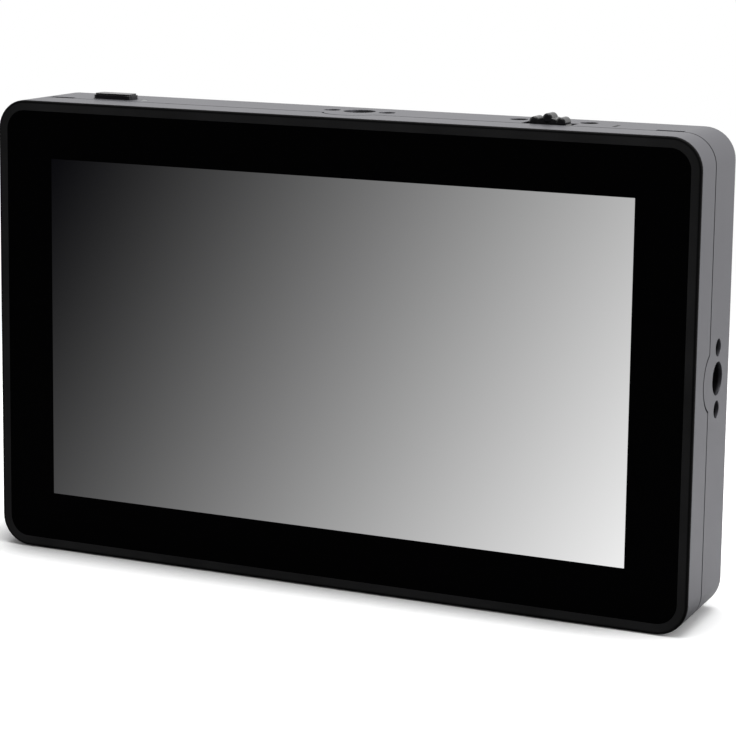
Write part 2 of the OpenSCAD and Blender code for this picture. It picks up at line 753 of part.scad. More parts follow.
module rear_shell() color([0.48, 0.48, 0.5]) at_frame() difference() {
    union() {
        difference() {
            union() {
                soft_block(seam_y + seam_gap, body_d, rear_edge_r);
                slab(seam_y - tongue_d, seam_y + 1) outline(wall / 2 + fit);
                intersection() {
                    slab(bulge_y - bulge_r - 1, seam_y + 1) outline(0);
                    at_mounts() translate([0, bulge_y - mount_y, -wall - 1])
                        cylinder(h = wall + 2, r = bulge_r);
                }
            }
            slab(0, inner_d) outline(wall);
        }
        at_corners() rod_y(0, corner_split, corner_head_y, 0, corner_boss_r);
        for (sx = [-1, 1], z = plate_screw_z)
            rod_y(sx * plate_screw_x, inner_d - plate_boss_l, inner_d + eps, z, plate_boss_r);
        for (x = hanger_x)
            rod_z(x, hanger_y, control_z, body_h - wall + eps, hanger_r);
        at_mounts() ear_places() translate([0, 0, -wall - ear_boss])
            cylinder(h = ear_boss + eps, r = ear_boss_r);
        box(-cup_w / 2 - cup_wall, cup_w / 2 + cup_wall, cup_floor - cup_wall, inner_d + eps,
            release_z - cup_h / 2 - cup_wall, release_z + cup_h / 2 + cup_wall);
    }
    // battery plate's pocket, the release button's cup and the plate's screws
    slab(plate_y, body_d + 1) translate([0, plate_z + plate_h / 2])
        round_rect(plate_w + 2 * fit, plate_h + 2 * fit, 2);
    box(-cup_w / 2, cup_w / 2, cup_floor, body_d + 1, release_z - cup_h / 2, release_z + cup_h / 2);
    for (sx = [-1, 1], z = plate_screw_z)
        rod_y(sx * plate_screw_x, inner_d - plate_boss_l - 1, body_d + 1, z, m25_r + thread_gap);
    for (k = [-1 : 1]) rod_y(k * blade_pitch, inner_d - 1, body_d + 1, tail_z, tail_r + tail_gap);
    // housing screws
    at_corners() rod_y(0, corner_split - 1, body_d + 1, 0, m25_r + fit);
    at_corners() rod_y(0, corner_seat_y, body_d + 1, 0, m25_head_r + head_gap);
    // control board's screws
    for (x = hanger_x) rod_z(x, hanger_y, control_z - 1, body_h - wall - 1, m2_r + thread_gap);
    // threads, locating holes and the blocks' screws
    at_mounts() mount_holes();
    at_mounts() ear_places() translate([0, 0, -wall - ear_boss - 1])
        cylinder(h = ear_boss + 1 + ear_bite + ear_tip_gap, r = m2_r + thread_gap);
    top_openings();
    socket_openings();
    for (sx = [-1, 1])
        box(sx * slot_x - slot_w / 2, sx * slot_x + slot_w / 2, seam_y - tongue_d - 1,
            seam_y + seam_gap + slot_t, body_h - slot_deep, body_h + 1);
    // vents beside the battery plate
    vent_x = (body_w / 2 + plate_w / 2) / 2 - 1;
    for (sx = [-1, 1], k = [0 : vent_count - 1])
        slab(inner_d - 1, body_d + 1)
            translate([sx * vent_x, mid_z + (k - (vent_count - 1) / 2) * vent_pitch])
                round_rect(vent_l, vent_t, vent_t / 2 - eps);
}

module housing_screws() color("dimgray") at_frame()
    at_corners() screw_y(0, 0, corner_tip_y, corner_seat_y, m25_r, m25_head_r, m25_head_h);

// ---------------------------------------------------------------- main board

module main_board() color("darkgreen") at_frame() difference() {
    box(board_x0, board_x1, board_y, board_end, board_z0, board_z1);
    at_standoffs() rod_y(0, board_y - 1, board_end + 1, 0, m25_r + fit);
}

module board_screws() color("silver") at_frame()
    at_standoffs() screw_y(0, 0, chassis_end, board_end, m25_r, m25_head_r, m25_head_h);

module processor() color([0.15, 0.15, 0.15]) at_frame()
    box(chip_x - chip_w / 2, chip_x + chip_w / 2, board_end, board_end + chip_t,
        chip_z - chip_w / 2, chip_z + chip_w / 2);

module thermal_pad() color("lightblue") at_frame()
    box(chip_x - chip_w / 2 + pad_inset, chip_x + chip_w / 2 - pad_inset, board_end + chip_t, sink_y,
        chip_z - chip_w / 2 + pad_inset, chip_z + chip_w / 2 - pad_inset);

module heat_sink() color("silver") at_frame() {
    box(chip_x - sink_w / 2, chip_x + sink_w / 2, sink_y, sink_y + sink_base, sink_z0, sink_z1);
    for (k = [0 : sink_fins - 1]) {
        x = chip_x - sink_w / 2 + k * (sink_w - fin_t) / (sink_fins - 1);
        box(x, x + fin_t, sink_y, sink_end, sink_z0, sink_z1);
    }
}

// ---------------------------------------------------------------- sockets on the left

// A full-size video socket: a thin folded shell, its lower corners cut, with a flat tongue
module video_profile(grow) {
    w = video_w / 2 + grow;
    t = video_t / 2 + grow;
    polygon([[-w, t], [w, t], [w, -t * 0.2], [w - 2, -t], [-w + 2, -t], [-w, -t * 0.2]]);
}

module video_socket() {
    difference() {
        linear_extrude(video_deep) video_profile(0);
        translate([0, 0, -1]) linear_extrude(video_deep - video_back + 1) video_profile(-video_skin);
    }
    translate([-tongue_w / 2, -tongue_t / 2 + tongue_off, tongue_in])
        cube([tongue_w, tongue_t, video_deep - tongue_in - video_back / 2]);
}

// Sockets open towards -X; their local X runs down the wall and Y towards the back
module at_left(z, y) translate([socket_x, y, z]) rotate([0, 90, 0]) children();

module video_sockets() color("silver") at_frame() {
    at_left(video_in_z, video_y) video_socket();
    at_left(video_out_z, video_y) video_socket();
}

module headphone_socket() color([0.1, 0.1, 0.1]) at_frame() difference() {
    union() {
        at_left(phone_z, phone_y) cylinder(h = nose_l, r = phone_nose_r);
        box(socket_body_x, socket_x + phone_deep, socket_y, socket_y + phone_body,
            phone_z - phone_body / 2, phone_z + phone_body / 2);
    }
    at_left(phone_z, phone_y) translate([0, 0, -1])
        cylinder(h = phone_deep, r = phone_d / 2);
}

module data_profile(grow) round_rect(data_w + 2 * grow, data_t + 2 * grow, data_t / 2 + grow - eps);

module data_socket() color("silver") at_frame() {
    at_left(data_z, data_y) {
        difference() {
            linear_extrude(data_deep) data_profile(0);
            translate([0, 0, -1]) linear_extrude(data_deep) data_profile(-data_skin);
        }
        translate([-data_tongue_w / 2, -data_tongue_t / 2, data_tongue_in])
            cube([data_tongue_w, data_tongue_t, data_deep - 1]);
    }
    // solder feet down to the board
    for (s = [-1, 1])
        box(socket_x + data_deep - data_rise - data_foot_w, socket_x + data_deep - data_rise, socket_y,
            socket_y + 2 * data_rise, data_z + s * data_foot_dz - data_foot_w / 2,
            data_z + s * data_foot_dz + data_foot_w / 2);
}

module dc_inlet() color([0.1, 0.1, 0.1]) at_frame() {
    difference() {
        union() {
            at_left(dc_z, dc_y) cylinder(h = nose_l, r = dc_nose_r);
            box(socket_body_x, socket_x + dc_deep, socket_y, socket_y + dc_body_t,
                dc_z - dc_body_w / 2, dc_z + dc_body_w / 2);
        }
        at_left(dc_z, dc_y) translate([0, 0, -1])
            cylinder(h = dc_deep - dc_floor + 1, r = dc_d / 2);
    }
    at_left(dc_z, dc_y) translate([0, 0, dc_pin_in])
        cylinder(h = dc_deep - dc_pin_in - dc_floor / 2, r = dc_pin_d / 2);
}

// ---------------------------------------------------------------- control board

module control_board() color("darkgreen") at_frame() difference() {
    box(control_x0, control_x1, control_y0, control_y1, control_z0, control_z);
    for (x = hanger_x) rod_z(x, hanger_y, control_z0 - 1, control_z + 1, m2_r + fit);
}

module control_screws() color("silver") at_frame() {
    for (x = hanger_x) {
        rod_z(x, hanger_y, control_z0 - m2_head_h, control_z0, m2_head_r);
        rod_z(x, hanger_y, control_z0 - eps, control_z + hanger_screw_l, m2_r);
    }
}

// Right-angle header that carries the keys' signals from board to board
module board_link() color([0.1, 0.1, 0.1]) at_frame() {
    box(link_x - link_w / 2, link_x + link_w / 2, board_end, board_end + link_t,
        board_z1 - link_h, board_z1);
    for (k = [0 : link_pins - 1])
        rod_z(link_x + (k - (link_pins - 1) / 2) * link_pitch, board_end + link_t / 2,
              board_z1 - 1, control_z0, link_pin_r);
}

module switch_body(h, floor_h) {
    difference() {
        translate([-switch_w / 2, -switch_w / 2, 0]) cube([switch_w, switch_w, h]);
        translate([0, 0, floor_h]) cylinder(h = h, r = plunger_d / 2 + run_gap);
    }
}

module key_switches() color([0.15, 0.15, 0.15]) at_frame() {
    for (p = [[power_x, power_y], [left_key_x, round_key_y], [right_key_x, round_key_y]])
        translate([p[0], p[1], control_z]) switch_body(switch_h, switch_floor);
}

module key_plunger(x, y) color("dimgray") at_frame()
    rod_z(x, y, plunger_foot, plunger_top, plunger_d / 2);

module power_button() color([0.04, 0.04, 0.04]) at_frame() {
    top_z = body_h + power_proud;
    translate([power_x, power_y, flange_z - flange_t]) {
        linear_extrude(flange_t)
            round_rect(power_w + 2 * flange_w, power_t + 2 * flange_w, power_r + flange_w);
        linear_extrude(top_z - power_step - flange_z + flange_t) round_rect(power_w, power_t, power_r);
        linear_extrude(top_z - flange_z + flange_t)
            round_rect(power_w - 2 * power_step, power_t - 2 * power_step, power_r - power_step);
    }
    rod_z(power_x, power_y, plunger_top, flange_z, stem_r);
}

module power_plunger() key_plunger(power_x, power_y);

module function_button(x) color([0.04, 0.04, 0.04]) at_frame() {
    rod_z(x, round_key_y, flange_z - flange_t, flange_z, round_flange_r);
    rod_z(x, round_key_y, flange_z - eps, body_h - round_key_sink, round_key_d / 2);
    rod_z(x, round_key_y, plunger_top, flange_z, stem_r);
}

module function_button_left() function_button(left_key_x);

module function_button_right() function_button(right_key_x);

module function_plunger_left() key_plunger(left_key_x, round_key_y);

module function_plunger_right() key_plunger(right_key_x, round_key_y);

module status_led() color("white") at_frame()
    box(light_x - led_w / 2, light_x + led_w / 2, power_y - led_t / 2, power_y + led_t / 2,
        control_z, control_z + led_h);

module status_light() color("lightyellow") at_frame() {
    rod_z(light_x, power_y, control_z + led_h, body_h - light_sink, light_d / 2);
    rod_z(light_x, power_y, body_h - wall - light_flange_t, body_h - wall, light_d / 2 + light_flange);
}

// ---------------------------------------------------------------- jog wheel

module jog_wheel() color([0.08, 0.08, 0.085]) at_frame() translate([wheel_x, 0, wheel_z]) difference() {
    union() {
        rod_y(0, wheel_y, wheel_end, 0, wheel_r - tooth_r);
        for (k = [0 : wheel_teeth - 1])
            rotate([0, k * 360 / wheel_teeth, 0])
                rod_y(0, wheel_y, wheel_end, wheel_r - tooth_r, tooth_r);
    }
    rod_y(0, wheel_y - 1, wheel_end + 1, 0, axle_d / 2 + thread_gap);
    for (y = [wheel_y - 1, wheel_end - dish_deep])
        difference() {
            rod_y(0, y, y + 1 + dish_deep, 0, wheel_r - 2 * tooth_r - dish_rim);
            rod_y(0, y - 1, y + 3, 0, axle_d / 2 + hub_rim);
        }
}

module jog_axle() color("silver") at_frame()
    rod_y(wheel_x, cheek_front + run_gap, cheek_rear + cheek_t - run_gap, wheel_z, axle_d / 2);

// Yoke that carries the wheel and moves down with it when the wheel is pressed
module jog_carrier() color("dimgray") at_frame() difference() {
    union() {
        for (y = [cheek_front, cheek_rear])
            box(wheel_x - cheek_w / 2, wheel_x + cheek_w / 2, y, y + cheek_t, bridge_z, cheek_top);
        box(wheel_x - cheek_w / 2, wheel_x + cheek_w / 2, cheek_front, cheek_rear + cheek_t,
            bridge_z, bridge_z + bridge_t);
    }
    rod_y(wheel_x, cheek_front - 1, cheek_rear + cheek_t + 1, wheel_z, axle_d / 2 + run_gap);
}

// Frame on the control board in which the yoke slides
module jog_base() color([0.2, 0.2, 0.2]) at_frame() {
    front = cheek_front - guide_gap - guide_t;
    rear = cheek_rear + cheek_t + guide_gap;
    for (y = [front, rear])
        box(wheel_x - guide_w / 2, wheel_x + guide_w / 2, y, y + guide_t, control_z, guide_top);
    for (s = [-1, 1])
        translate([wheel_x + s * (guide_w - base_side) / 2, 0, 0])
            box(-base_side / 2, base_side / 2, front, rear + guide_t,
                control_z, control_z + click_h - base_drop);
}

module jog_switch() color([0.15, 0.15, 0.15]) at_frame()
    translate([wheel_x, click_y, control_z]) switch_body(click_h, click_floor);

module jog_plunger() color("dimgray") at_frame()
    rod_z(wheel_x, click_y, control_z + click_floor + key_travel + click_gap, bridge_z, plunger_d / 2);

// ---------------------------------------------------------------- mounting blocks

module mount_block() difference() {
    union() {
        translate([-block_w / 2, -block_t / 2, -wall - block_h]) cube([block_w, block_t, block_h]);
        translate([-block_w / 2 - ear_w, -ear_d / 2, -wall - ear_boss - ear_t])
            cube([block_w + 2 * ear_w, ear_d, ear_t]);
    }
    mount_holes();
    ear_places() translate([0, 0, -wall - block_h - 1]) cylinder(h = block_h, r = m2_r + fit);
}

module top_mount() color("silver") at_frame() at_top() mount_block();

module side_mount() color("silver") at_frame() at_side() mount_block();

module bottom_mount() color("silver") at_frame() at_bottom() mount_block();

module mount_screws() color("dimgray") at_frame() at_mounts() ear_places()
    translate([0, 0, -wall - ear_boss - ear_t]) {
        translate([0, 0, -m2_head_h]) cylinder(h = m2_head_h, r = m2_head_r);
        translate([0, 0, -eps]) cylinder(h = ear_t + ear_boss + ear_bite, r = m2_r);
    }

// ---------------------------------------------------------------- back

module battery_plate() color([0.07, 0.07, 0.07]) at_frame() difference() {
    union() {
        slab(plate_y, plate_face) translate([0, plate_z + plate_h / 2]) round_rect(plate_w, plate_h, 2);
        for (s = [-1, 1]) {
            box(s * (rail_x + rail_t / 2) - rail_t / 2, s * (rail_x + rail_t / 2) + rail_t / 2,
                plate_face - eps, total_d, rail_z0, rail_z0 + rail_l);
            for (z = [rail_z0 + hook_low, rail_z0 + rail_l - hook_l - hook_high])
                box(s * (rail_x - hook_reach / 2) - hook_reach / 2 - eps,
                    s * (rail_x - hook_reach / 2) + hook_reach / 2 + eps,
                    total_d - hook_t, total_d, z, z + hook_l);
        }
    }
    // window for the release button
    box(-release_w / 2 - key_gap, release_w / 2 + key_gap, plate_y - 1, plate_face + 1,
        release_z - release_h / 2 - key_gap, release_z + release_h / 2 + key_gap);
    // countersunk screw holes
    for (sx = [-1, 1], z = plate_screw_z) {
        rod_y(sx * plate_screw_x, plate_y - 1, plate_face + 1, z, m25_r + fit);
        rod_y(sx * plate_screw_x, plate_face - plate_sink, plate_face + 1, z, m25_head_r + head_gap);
    }
    for (k = [-1 : 1])
        rod_y(k * blade_pitch, plate_y - 1, plate_face + 1, tail_z, tail_r + tail_gap);
    // shallow grip grooves under the release button
    for (k = [0 : grip_count - 1])
        translate([0, 0, release_z - grip_drop - k * grip_pitch])
            box(-grip_w / 2, grip_w / 2, plate_face - grip_deep, plate_face + 1, 0, grip_t);
}

module plate_screws() color("dimgray") at_frame() {
    for (sx = [-1, 1], z = plate_screw_z)
        screw_y(sx * plate_screw_x, z, inner_d - plate_boss_l + plate_tip_gap, plate_face - plate_sink,
                m25_r, m25_head_r, plate_head_h);
}

module contact_block() color([0.07, 0.07, 0.07]) at_frame() difference() {
    box(-contact_w / 2, contact_w / 2, plate_face, plate_face + contact_t,
        contact_z, contact_z + contact_h);
    for (k = [-1 : 1]) {
        translate([k * blade_pitch, 0, 0])
            box(-blade_t / 2 - blade_slack, blade_t / 2 + blade_slack, blade_y - blade_slack,
                blade_y + blade_w + blade_slack, tail_z - 1, contact_z + contact_h + 1);
        rod_y(k * blade_pitch, plate_face - 1, blade_y + tail_r + tail_slack, tail_z, tail_r + tail_slack);
    }
}

module battery_contacts() color("gold") at_frame() {
    for (k = [-1 : 1]) {
        box(k * blade_pitch - blade_t / 2, k * blade_pitch + blade_t / 2,
            blade_y, blade_y + blade_w, tail_z - tail_r - blade_slack, contact_z + contact_h + blade_l);
        rod_y(k * blade_pitch, board_end, blade_y + tail_r, tail_z, tail_r);
    }
}

// Sprung catch: its sloping upper side lets the battery pass, its lower side holds it
module release_button() color([0.3, 0.3, 0.32]) at_frame() {
    box(-release_w / 2 - release_flange, release_w / 2 + release_flange,
        flange_y - release_flange_t, flange_y,
        release_z - release_h / 2 - release_flange, release_z + release_h / 2 + release_flange);
    translate([-release_w / 2, 0, 0]) rotate([90, 0, 90]) linear_extrude(release_w)
        polygon([[flange_y - eps, release_z - release_h / 2],
                 [release_top, release_z - release_h / 2],
                 [release_top, release_z + release_h / 2 - release_slope],
                 [plate_face, release_z + release_h / 2],
                 [flange_y - eps, release_z + release_h / 2]]);
}

// Compression spring in the cup: a helix swept with a six-sided wire
function helix_point(a, turns, len, rad) =
    [rad * cos(a * 360 * turns), len * a, rad * sin(a * 360 * turns)];

module release_spring() color("silver") at_frame()
    translate([0, cup_floor + spring_fit, release_z]) {
        sides = wire_sides;
        steps = spring_steps * spring_turns;
        wr = spring_wire / 2;
        climb = spring_l - 2 * spring_fit - spring_wire;
        pts = [
            for (i = [0 : steps])
                let (a = i / steps, c = helix_point(a, spring_turns, climb, spring_d / 2))
                for (j = [0 : sides - 1])
                    let (t = j * 360 / sides, out = wr * cos(t), up = wr * sin(t),
                         turn = a * 360 * spring_turns)
                    [c[0] + out * cos(turn), c[1] + wr + up, c[2] + out * sin(turn)]
        ];
        faces = concat(
            [[for (j = [0 : sides - 1]) j]],
            [for (i = [0 : steps - 1], j = [0 : sides - 1])
                let (a = i * sides + j, b = i * sides + (j + 1) % sides)
                [a, a + sides, b + sides, b]],
            [[for (j = [sides - 1 : -1 : 0]) steps * sides + j]]
        );
        polyhedron(pts, faces, convexity = 4);
    }

cover_glass();
glass_tape();
bezel();
display_panel();
backlight();
display_flex();
flex_connector();
chassis_plate();
chassis_screws();
front_shell();
rear_shell();
housing_screws();
main_board();
board_screws();
processor();
thermal_pad();
heat_sink();
video_sockets();
headphone_socket();
data_socket();
dc_inlet();
control_board();
control_screws();
board_link();
key_switches();
power_button();
power_plunger();
function_button_left();
function_plunger_left();
function_button_right();
function_plunger_right();
jog_wheel();
jog_axle();
jog_carrier();
jog_base();
jog_switch();
jog_plunger();
status_led();
status_light();
top_mount();
side_mount();
bottom_mount();
mount_screws();
battery_plate();
plate_screws();
contact_block();
battery_contacts();
release_button();
release_spring();
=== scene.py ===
# %% [markdown]
# # Dressing a small camera monitor
# The solids come from the CAD step: every piece already has its place, its size and the body it
# moves with. Blender is here for the looks. This lesson loads that frame, sets the camera where
# the photographer stood, builds the few pieces that repeat with Geometry Nodes, and writes a
# procedural finish for every surface. Lengths are in metres unless a name ends in _mm.

# %% Load the frame
import bpy
import bmesh
import math
from mathutils import Matrix, Vector


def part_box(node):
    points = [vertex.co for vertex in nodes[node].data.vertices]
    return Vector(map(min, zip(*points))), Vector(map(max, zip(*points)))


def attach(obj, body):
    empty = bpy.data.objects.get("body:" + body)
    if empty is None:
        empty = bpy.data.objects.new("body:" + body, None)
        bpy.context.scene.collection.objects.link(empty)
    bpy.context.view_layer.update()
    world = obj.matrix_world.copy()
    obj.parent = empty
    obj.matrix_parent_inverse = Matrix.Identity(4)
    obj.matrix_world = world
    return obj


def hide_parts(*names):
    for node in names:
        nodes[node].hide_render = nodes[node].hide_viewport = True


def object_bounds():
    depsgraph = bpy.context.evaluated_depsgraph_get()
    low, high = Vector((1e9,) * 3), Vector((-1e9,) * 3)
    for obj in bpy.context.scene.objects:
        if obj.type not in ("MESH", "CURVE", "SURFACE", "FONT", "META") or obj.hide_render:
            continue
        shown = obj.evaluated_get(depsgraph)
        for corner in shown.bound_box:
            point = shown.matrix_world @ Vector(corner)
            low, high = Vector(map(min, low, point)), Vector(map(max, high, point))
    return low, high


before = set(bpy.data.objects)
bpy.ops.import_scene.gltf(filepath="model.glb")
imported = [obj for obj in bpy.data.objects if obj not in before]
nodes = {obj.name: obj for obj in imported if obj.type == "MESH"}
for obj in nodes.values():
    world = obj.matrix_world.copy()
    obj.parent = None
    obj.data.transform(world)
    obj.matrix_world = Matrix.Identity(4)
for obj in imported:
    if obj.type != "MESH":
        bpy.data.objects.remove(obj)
cad_low, cad_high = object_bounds()
scene = bpy.context.scene
MM = 0.001

# %% [markdown]
# ## The camera
# A photograph fixes the turn round the object, the look down, the roll, three offsets and the
# focal length. They could be tried by eye. Here they come from fitting the picture area's
# corners and the housing's edges, whose real sizes are known, so straight edges of the render
# fall on the edges of the photograph. The upright edges lean together less than a camera that
# looks down so far would show them: the photographer's frame was shifted, and so is this lens.
# The shift is kept small, because every other view of the model keeps it too.

# %% Set the camera
FRAME_PIXELS, FOCUS_PIXELS, AXIS_ROW, SENSOR_MM = 736.0, 2423.2, 270.0, 36.0
TURN, LOOK_DOWN, ROLL = math.radians(24.227), math.radians(9.104), math.radians(0.717)
OFFSET = Vector((-8.097, 16.440, 463.959)) * MM

face_low, face_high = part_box("bezel")
face = Vector(((face_low.x + face_high.x) / 2, face_low.y, (face_low.z + face_high.z) / 2))
LOOK_LEVEL = Matrix(((1, 0, 0), (0, 0, -1), (0, 1, 0)))
turned = (Matrix.Rotation(ROLL, 3, "Z") @ Matrix.Rotation(LOOK_DOWN, 3, "X") @ LOOK_LEVEL
          @ Matrix.Rotation(-TURN, 3, "Z"))
right, down, ahead = (Vector(row) for row in turned)
eye = face - turned.transposed() @ OFFSET

camera = bpy.data.objects.new("camera", bpy.data.cameras.new("camera"))
camera.data.sensor_width = SENSOR_MM
camera.data.lens = FOCUS_PIXELS / FRAME_PIXELS * SENSOR_MM
camera.data.shift_y = (AXIS_ROW - FRAME_PIXELS / 2) / FRAME_PIXELS
camera.data.clip_start = 0.01
stance = Matrix((right, -down, -ahead)).transposed().to_4x4()
camera.matrix_world = Matrix.Translation(eye) @ stance
scene.collection.objects.link(camera)
scene.camera = camera
print("camera stands", round((eye - face).length, 3), "m from the glass")

# %% [markdown]
# ## Writing shader maths as plain expressions
# A node tree is easier to read as arithmetic. The class below holds one output socket. Adding,
# multiplying or comparing wires adds the Math node that does so, and the method `node` adds any
# other node: its settings are made first, then its inputs are filled with numbers or with other
# wires. Colours go through Mix nodes, because a Math node would turn them grey.

# %% One class for shader arithmetic
class Wire:
    def __init__(self, tree, socket):
        self.tree, self.socket = tree, socket

    def node(self, kind, inputs, out=0, **settings):
        made = self.tree.nodes.new(kind)
        for key, value in settings.items():
            setattr(made, key, value)
        for key, value in inputs.items():
            if isinstance(value, Wire):
                self.tree.links.new(value.socket, made.inputs[key])
            else:
                made.inputs[key].default_value = value
        return Wire(self.tree, made.outputs[out])

    def maths(self, operation, a, b=0.0):
        return self.node("ShaderNodeMath", {0: a, 1: b}, operation=operation)

    def __add__(self, other): return self.maths("ADD", self, other)
    def __radd__(self, other): return self.maths("ADD", other, self)
    def __sub__(self, other): return self.maths("SUBTRACT", self, other)
    def __rsub__(self, other): return self.maths("SUBTRACT", other, self)
    def __mul__(self, other): return self.maths("MULTIPLY", self, other)
    def __rmul__(self, other): return self.maths("MULTIPLY", other, self)
    def __truediv__(self, other): return self.maths("DIVIDE", self, other)
    def __gt__(self, other): return self.maths("GREATER_THAN", self, other)
    def __lt__(self, other): return self.maths("LESS_THAN", self, other)
    def __abs__(self): return self.maths("ABSOLUTE", self)

    def root(self): return self.maths("SQRT", self)
    def power(self, exponent): return self.maths("POWER", self, exponent)
    def larger(self, other): return self.maths("MAXIMUM", self, other)
    def smaller(self, other): return self.maths("MINIMUM", self, other)

    def smooth(self, low, high):
        return self.node("ShaderNodeMapRange", {"Value": self, 1: low, 2: high},
                         interpolation_type="SMOOTHSTEP")

    def blend(self, dark, light):
        """Two colours, each three numbers or a wire. The Mix node takes them at inputs 6 and 7."""
        dark, light = ((*colour, 1.0) if isinstance(colour, tuple) else colour
                       for colour in (dark, light))
        return self.node("ShaderNodeMix", {0: self, 6: dark, 7: light}, out=2, data_type="RGBA")

    def axes(self):
        split = self.node("ShaderNodeSeparateXYZ", {0: self})
        return [Wire(self.tree, s) for s in split.socket.node.outputs]

    def noise(self, size, detail=2.0, rough=0.5):
        return self.node("ShaderNodeTexNoise", {"Vector": self, "Scale": 1 / size,
                         "Detail": detail, "Roughness": rough})

    def stretch(self, scale):
        return self.node("ShaderNodeMapping", {"Vector": self, "Scale": scale})

    def bump(self, height, distance, strength=1.0):
        return self.node("ShaderNodeBump", {"Height": height, "Distance": distance,
                         "Strength": strength})


def finish(name, fixed, pattern):
    """A material: `fixed` values sit on the shader's sockets, `pattern` gives what varies."""
    material = bpy.data.materials.new(name)
    material.use_nodes = True
    tree = material.node_tree
    shader = tree.nodes["Principled BSDF"]
    place = Wire(tree, tree.nodes.new("ShaderNodeTexCoord").outputs["Object"])
    for key, value in fixed.items():
        shader.inputs[key].default_value = value
    for key, value in pattern(place).items():
        tree.links.new(value.socket, shader.inputs[key])
    return material


print("shader helpers ready")

# %% [markdown]
# ## The housing's metal
# Both shells are aluminium, blasted with fine grit and anodised grey. Blasting leaves tiny even
# pits, so the light spreads and no sharp reflection is left. The pits could be modelled, but
# they are a tenth of a millimetre wide: a noise texture that drives a bump is enough. A second,
# slower noise changes the roughness a little, as handling does, and a Bevel node rounds the
# machined edges by a hair so that they catch the light. The groove between the two shells is
# too narrow for light to get in, so painted shade colours it as a dark line. Its place is
# known from the model: a plain depth, and round each thread an arc. The walls of holes and
# vents get painted shade as well, as if no light reached into them.

# %% Blasted aluminium
SEAM_DEPTH, SEAM_HALF = 8.85 * MM, 0.15 * MM
SEAM_EDGE = 0.7 * SEAM_HALF, 2.2 * SEAM_HALF
BULGE_DEPTH, BULGE_R, BULGE_REACH = 11.3 * MM, 5.85 * MM, 12 * MM
SIDE_FROM, END_FROM = 70 * MM, 44 * MM
SKIN, CORNER_R = 0.3 * MM, 6.0 * MM
shell_low, shell_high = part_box("rear_shell")


def groove_painted_shade(place):
    """1 in the shells' groove, for painted shade: straight, and an arc in front of each thread."""
    x, y, z = place.axes()
    depth, rise = y - face.y, z - face.z
    on_side, on_end = x > SIDE_FROM, abs(rise) > END_FROM
    by_thread = (abs(rise) < BULGE_REACH) * on_side + (abs(x) < BULGE_REACH) * on_end
    behind = depth - BULGE_DEPTH
    from_thread = (x * x * on_end + rise * rise * on_side + behind * behind).root()
    straight = 1.0 - abs(depth - SEAM_DEPTH).smooth(*SEAM_EDGE)
    arc = 1.0 - abs(from_thread - BULGE_R).smooth(*SEAM_EDGE)
    inside_arc = from_thread < BULGE_R - SEAM_HALF
    interrupted = straight * (1.0 - inside_arc * by_thread)
    return interrupted.larger(arc * by_thread * (depth < SEAM_DEPTH))


def from_outline(place):
    """Distance to the housing's rounded outline, seen from the front; negative inside it."""
    x, _, z = place.axes()
    side = abs(x) - (shell_high.x - CORNER_R)
    end = abs(z - face.z) - ((shell_high.z - shell_low.z) / 2 - CORNER_R)
    past_side, past_end = side.larger(0.0), end.larger(0.0)
    corner = (past_side * past_side + past_end * past_end).root()
    return corner - CORNER_R + side.larger(end).smaller(0.0)


def hole_wall_painted_shade(place):
    """Painted shade: 1 on metal deeper than the outer skin, the walls of holes, slots and vents."""
    depth = place.axes()[1]
    under_sides = 1.0 - from_outline(place).smooth(-3 * SKIN, -SKIN)
    return under_sides * (1.0 - depth.smooth(shell_high.y - 3 * SKIN, shell_high.y - SKIN))


def blasted(place):
    line = groove_painted_shade(place)
    pits = place.noise(0.16 * MM, 1.0, 0.5)
    cloud = place.noise(20 * MM, 3.0, 0.55)
    soft_edge = place.node("ShaderNodeBevel", {"Radius": 0.22 * MM}, samples=6)
    tone = 0.35 * pits + 0.65 * cloud
    skin = place.bump(pits, 0.01 * MM, 0.45)
    place.tree.links.new(soft_edge.socket, skin.socket.node.inputs["Normal"])
    grey = tone.blend((0.134, 0.133, 0.147), (0.160, 0.159, 0.174))
    # painted shade: the groove and the walls of holes are coloured near black
    painted_shade = 0.93 * line.larger(hole_wall_painted_shade(place))
    return {"Base Color": painted_shade.blend(grey, (0.006, 0.006, 0.007)),
            "Roughness": 0.40 + 0.10 * cloud + 0.04 * pits + 0.3 * line,
            "Normal": skin}


metal_skin = finish("blasted_aluminium", {"Metallic": 0.85}, blasted)


def wear(material, *names):
    for name in names:
        slots = nodes[name].data.materials
        slots.clear()
        slots.append(material)
    print(material.name, "->", ", ".join(names))


wear(metal_skin, "front_shell", "rear_shell")

# %% [markdown]
# ## The glass and its picture
# One sheet of glass covers the whole front. Its rim is printed black from behind, and only the
# picture area is clear. It could be built as clear glass over a glowing panel, but the panel is
# bonded to the glass without an air gap, so the picture seems to lie in its surface. One
# material does both: a mask from the place on the glass tells the picture from the black rim.
# The picture is a plain grey ramp, a test signal that darkens to the upper left.

# %% Cover glass with a lit picture
PICTURE_W, PICTURE_H = 121.8 * MM, 68.5 * MM
PICTURE_X, PICTURE_Z = 0.0, face.z + 0.14 * MM
PICTURE_SKIN = 0.2 * MM
RAMP_START, RAMP_ACROSS, RAMP_DOWN, GAMMA = 0.055, 0.650, 0.222, 2.2


